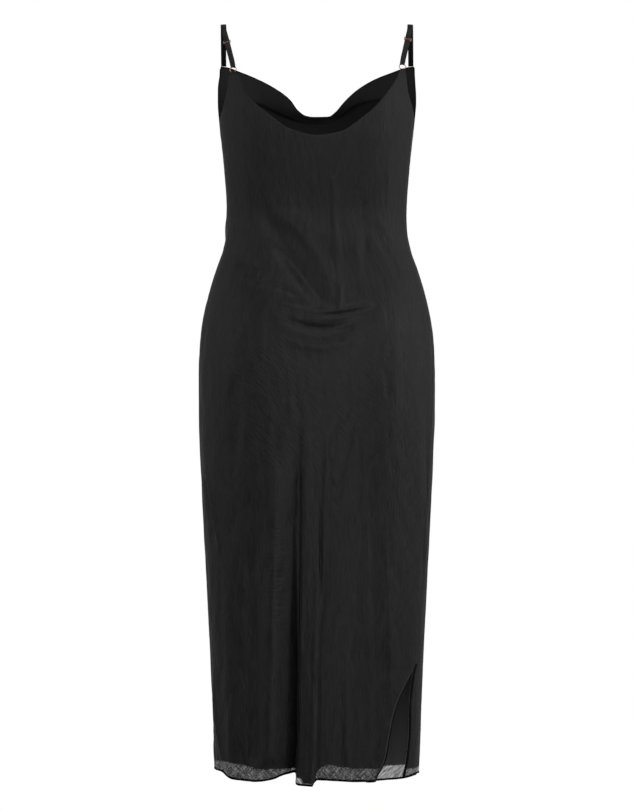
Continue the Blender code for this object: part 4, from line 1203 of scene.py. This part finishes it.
def shoulder_line(side):
    """The middle of the strap, from the front corner to where it leaves the shoulder at the back."""
    line = [side.corner + np.array([0, 0, CORNER_LIFT])]
    for angle in np.radians(np.linspace(SHOULDER_DROP_FRONT, 0, 6)):
        line.append(SHOULDER_FRONT * np.array([0, math.sin(angle), math.cos(angle) - 1]))
    for angle in np.radians(np.linspace(0, SHOULDER_DROP_BACK, 6)[1:]):
        line.append(SHOULDER_BACK * np.array([0, -math.sin(angle), math.cos(angle) - 1]))
    for place in line[1:]:
        if place[1] > 0:
            across = STRAP_TOP_ACROSS + (abs(line[0][0]) - STRAP_TOP_ACROSS) * place[1] / line[0][1]
        else:
            across = STRAP_TOP_ACROSS + (STRAP_BACK_ACROSS - STRAP_TOP_ACROSS) * place[1] / line[-1][1]
        place[0] = across * side.sign
    return line


# %% [markdown]
# A ribbon is a grid of points along its path. It is a little crowned across, because the seam
# allowances inside the fold make its middle fuller than its edges.

# %% Make a ribbon from rows
CROWN, ROUNDED_EDGE = 0.25, 0.22


def ribbon(name, rows, wall, step=1.2):
    rows = np.array(rows)
    apart = np.linalg.norm(np.diff(rows.mean(1), axis=0), axis=-1)
    run = np.concatenate([[0], np.cumsum(apart)])
    at = np.unique(np.concatenate([np.linspace(0, run[-1], int(run[-1] / step)), run]))
    fine = np.empty((len(at), RIBBON_COLUMNS, 3))
    for i in range(RIBBON_COLUMNS):
        for axis in range(3):
            fine[:, i, axis] = smooth(run, rows[:, i, axis], at)
    share = np.linspace(-1, 1, RIBBON_COLUMNS)
    fine = fine + grid_outward(fine) * (CROWN * (1 - share**2))[None, :, None]
    threads = np.stack(np.broadcast_arrays(share[None] * STRAP_WIDTH / 2, at[:, None]), -1)
    piece = grid_mesh(name, fine, threads)
    thicken(piece, wall, 0.0)
    rounding = piece.modifiers.new("rounded edges", "BEVEL")
    rounding.width = ROUNDED_EDGE * MM
    rounding.segments = 2
    rounding.limit_method = "ANGLE"
    piece.data.materials.append(strap_satin)
    hang(piece)
    return piece


# %% [markdown]
# A strap goes under and over the slider's bars, which holds it by friction, then round the ring. Its
# rows lie half a strap's thickness off whatever they pass, so nothing cuts through the metal.

# %% Sew the straps


def strap(side, name):
    line = shoulder_line(side)
    down = unit(side.top - line[-1])
    across = unit(side.across - down * np.dot(side.across, down))
    out = np.cross(down, across)
    out = out * np.sign(-out[1])
    side.slider = line[-1] + down * side.slider_down
    side.slider_axes = (across, out)
    level = np.array([1.0, 0, 0])
    yaw = math.radians(CORNER_YAW)
    corner_across = np.array([math.cos(yaw), -side.sign * math.sin(yaw), 0])
    rows = []
    for i, place in enumerate(line):
        share = i / (len(line) - 1)
        if share < 0.5:
            direction = corner_across + (level - corner_across) * min(share * 3, 1)
        else:
            direction = level + (across - level) * (share * 2 - 1)
        rows.append(ribbon_row(place, direction, STRAP_WIDTH))
    over = SLIDER_PLATE / 2 + PLATE_CLEARANCE + STRAP_WALL / 2
    pitch = SLIDER_PITCH
    for place, lift in ((-pitch - 4, 0), (-pitch - 0.6, over), (-pitch + 0.6, over), (-0.9, -over),
                        (0.9, -over), (pitch - 0.6, over), (pitch + 0.6, over), (pitch + 4, 0)):
        rows.append(ribbon_row(side.slider + down * place + out * lift, across, STRAP_WIDTH))
    reach = RING_WIRE + WIRE_CLEARANCE + STRAP_WALL / 2
    for left in (24.0, 9.0):
        rows.append(ribbon_row(side.top - down * left + out * reach * (1 - left / TAPER), across,
                               STRAP_AT_RING + (STRAP_WIDTH - STRAP_AT_RING) * left / TAPER))
    half_arc = math.degrees(STRAP_AT_RING / 2 / RING_RADIUS)
    rows += [side.round_wire(around, True, STRAP_WALL, half_arc) for around in WIRE_ROWS]
    for left, lift in ((9.0, -1.3), (24.0, -0.95)):
        rows.append(ribbon_row(side.top - down * left + out * lift, across, STRAP_AT_RING))
    behind = -(over + STRAP_WALL + 0.1)
    for place, lift in ((pitch + 4, 0.8), (pitch + 0.6, 0.2), (-0.6, -0.1), (-pitch - 0.5, 0)):
        rows.append(ribbon_row(side.slider + down * place + out * (behind + lift), across,
                               STRAP_AT_RING))
    return ribbon(name, rows, STRAP_WALL)


def fabric_loop(side, name):
    turns = side.point_turn + np.linspace(-LOOP_HALF_TURN, LOOP_HALF_TURN, RIBBON_COLUMNS)

    def leg(below, offset):
        height = side.point_height - below
        return cloth(turns, height, False) + plain_outward(turns, height + 0 * turns) * offset

    rows = [leg(5.0, -0.3), leg(3.0, 0.15), leg(0.5, 0.32)]
    rows += [side.round_wire(around, False, LOOP_WALL, LOOP_HALF_ARC) for around in WIRE_ROWS]
    rows += [leg(below, -STACK - 0.3) for below in (0.5, 4.0, 9.0)]
    return ribbon(name, rows, LOOP_WALL, 0.8)


left_side = StrapSide(-1, -61.4, 241.8, 163.5, 30.0)
right_side = StrapSide(1, 62.4, 117.5, 165.0, 23.5)
for side_name, side in (("left", left_side), ("right", right_side)):
    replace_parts(strap(side, f"strap_{side_name}_ribbon"), f"strap_{side_name}")
    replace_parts(fabric_loop(side, f"loop_{side_name}_ribbon"), f"loop_{side_name}")

# %% [markdown]
# ## Rings and sliders
#
# A ring is wire bent round and closed, so it is a torus. A slider is cast flat with two slots, and
# tumbling rounds its edges: its outline is a flat curve with two holes, given a thickness and a
# small bevel.

# %% Cast the metal
RING_STEPS, WIRE_STEPS = 72, 20


def ring(side, name):
    major = np.linspace(0, 2 * math.pi, RING_STEPS + 1)[:-1, None, None]
    minor = np.linspace(0, 2 * math.pi, WIRE_STEPS + 1)[None, :-1, None]
    radial = side.across * np.cos(major) + side.up * np.sin(major)
    points = side.centre + radial * (RING_RADIUS + RING_WIRE * np.cos(minor))
    points = points + side.out * RING_WIRE * np.sin(minor)
    piece = grid_mesh(name, points, None, True, True)
    facing_out(piece)
    return piece


def rounded_rectangle(width, height, corner, steps):
    outline = []
    for quarter in range(4):
        x = (width / 2 - corner) * (1 if quarter in (0, 3) else -1)
        y = (height / 2 - corner) * (1 if quarter in (0, 1) else -1)
        for step in range(steps + 1):
            angle = math.pi / 2 * (quarter + step / steps)
            outline.append((x + corner * math.cos(angle), y + corner * math.sin(angle)))
    return outline


def slider(side, name):
    curve = bpy.data.curves.new(name, "CURVE")
    curve.dimensions = "2D"
    curve.fill_mode = "BOTH"
    curve.extrude = (SLIDER_PLATE / 2 - SLIDER_EDGE) * MM
    curve.bevel_depth = SLIDER_EDGE * MM
    curve.bevel_resolution = 3
    curve.offset = -SLIDER_EDGE * MM
    plate = rounded_rectangle(SLIDER_LENGTH, 2 * SLIDER_PITCH + SLIDER_BAR, SLIDER_CORNER, 8)
    slot = rounded_rectangle(SLIDER_LENGTH - 2 * SLIDER_END, SLIDER_SLOT, SLOT_CORNER, 4)
    outlines = [(0.0, plate), (-SLIDER_PITCH / 2, slot), (SLIDER_PITCH / 2, slot)]
    for middle, outline in outlines:
        spline = curve.splines.new("POLY")
        spline.points.add(len(outline) - 1)
        for point, (x, y) in zip(spline.points, outline):
            point.co = (x * MM, (y + middle) * MM, 0, 1)
        spline.use_cyclic_u = True
    flat = new_object(name + "_outline", curve)
    mesh = bpy.data.meshes.new_from_object(flat)
    bpy.data.objects.remove(flat)
    across, out = side.slider_axes
    frame_of = Matrix((across, np.cross(out, across), out)).transposed().to_4x4()
    frame_of.translation = Vector(side.slider * MM)
    mesh.transform(frame_of)
    piece = new_object(name, mesh)
    facing_out(piece)
    return piece


for side_name, side in (("left", left_side), ("right", right_side)):
    for kind, maker in (("ring", ring), ("slider", slider)):
        metal = maker(side, f"{kind}_{side_name}_plated")
        metal.data.materials.clear()
        metal.data.materials.append(rose_gold)
        hang(metal)
        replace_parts(metal, f"{kind}_{side_name}")

# %% [markdown]

# %% [markdown]
# ## Light, floor and camera
#
# Black cloth shows its form only by sheen, so tall soft lights stand to the sides. The floor and the
# sky are white.

# %% Set the stage
FLOOR_LEVEL, FLOOR_HALF_WIDTH = -1.42, 12  # metres
LAMPS_AIM = (0, 0, -0.6)
SENSOR = 36  # millimetres
CAMERA_AWAY, CAMERA_LEVEL, CAMERA_ACROSS = 4.1, -0.6545, 0.0003  # metres
PICTURE_HEIGHT, PIXEL = 811, 0.00172  # in pixels, and in metres at the dress
SKY_LIGHT = 0.25  # share of the sky's brightness that lights the dress


def softbox(name, place, width, height, watts):
    light = bpy.data.lights.new(name, "AREA")
    light.shape = "RECTANGLE"
    light.size, light.size_y = width, height
    light.energy = watts
    lamp = new_object(name, light)
    lamp.location = place
    lamp.rotation_euler = (Vector(LAMPS_AIM) - Vector(place)).to_track_quat("-Z", "Y").to_euler()


for name, place, width, height, watts in (
    ("key_right", (1.4, -3.5, 0.3), 1.0, 1.4, 24),
    ("key_left", (-1.4, -3.5, 0.3), 1.0, 1.4, 19),
    ("key_centre", (0.1, -4.2, 0.1), 0.8, 0.8, 13),
    ("side_right", (2.6, -1.2, 0.1), 0.8, 2.9, 34),
    ("side_left", (-2.6, -1.0, 0.1), 0.6, 2.9, 16),
    ("rim_right", (2.4, 0.5, 0.1), 0.8, 2.9, 12),
    ("rim_left", (-2.4, 0.6, 0.1), 0.8, 2.9, 5.5),
    ("overhead", (0.2, -1.2, 2.0), 2.4, 1.0, 24),
    ("low", (0.0, -3.0, -1.35), 1.6, 0.3, 12),
    ("front_key", (0.3, 4.0, 0.5), 1.0, 1.4, 45),
):
    softbox(name, place, width, height, watts)

world = bpy.data.worlds.new("white studio")
bpy.context.scene.world = world
world.use_nodes = True
# the white sky is seen at full strength, and lights the dress with a share of it
sky = world.node_tree.nodes["Background"]
sky.inputs["Color"].default_value = (1, 1, 1, 1)
seen = add(world.node_tree, "ShaderNodeLightPath").outputs["Is Camera Ray"]
strength = add(world.node_tree, "ShaderNodeMapRange", Value=seen, To_Min=SKY_LIGHT, To_Max=1.0)
world.node_tree.links.new(strength.outputs[0], sky.inputs["Strength"])

floor_mesh = bpy.data.meshes.new("floor")
floor_shape = bmesh.new()
bmesh.ops.create_grid(floor_shape, x_segments=1, y_segments=1, size=FLOOR_HALF_WIDTH)
for corner in floor_shape.verts:
    corner.co.z = FLOOR_LEVEL
floor_shape.to_mesh(floor_mesh)
floor_shape.free()
floor = new_object("floor", floor_mesh)
floor_paint, floor_tree, floor_output = new_material("white studio floor")
floor_shader = add(floor_tree, "ShaderNodeEmission", Color=linear("#ffffff"), Strength=1.0)
floor_tree.links.new(floor_shader.outputs[0], floor_output.inputs["Surface"])
floor_mesh.materials.append(floor_paint)
floor.visible_diffuse = False
floor.visible_glossy = False

camera = bpy.data.cameras.new("camera")
camera.sensor_width = SENSOR
camera.lens = SENSOR * CAMERA_AWAY / (PICTURE_HEIGHT * PIXEL)
viewer = new_object("camera", camera)
viewer.location = (CAMERA_ACROSS, -CAMERA_AWAY, CAMERA_LEVEL)
viewer.rotation_euler = (math.pi / 2, 0, 0)
bpy.context.scene.camera = viewer
bpy.context.scene.view_settings.view_transform = "Standard"
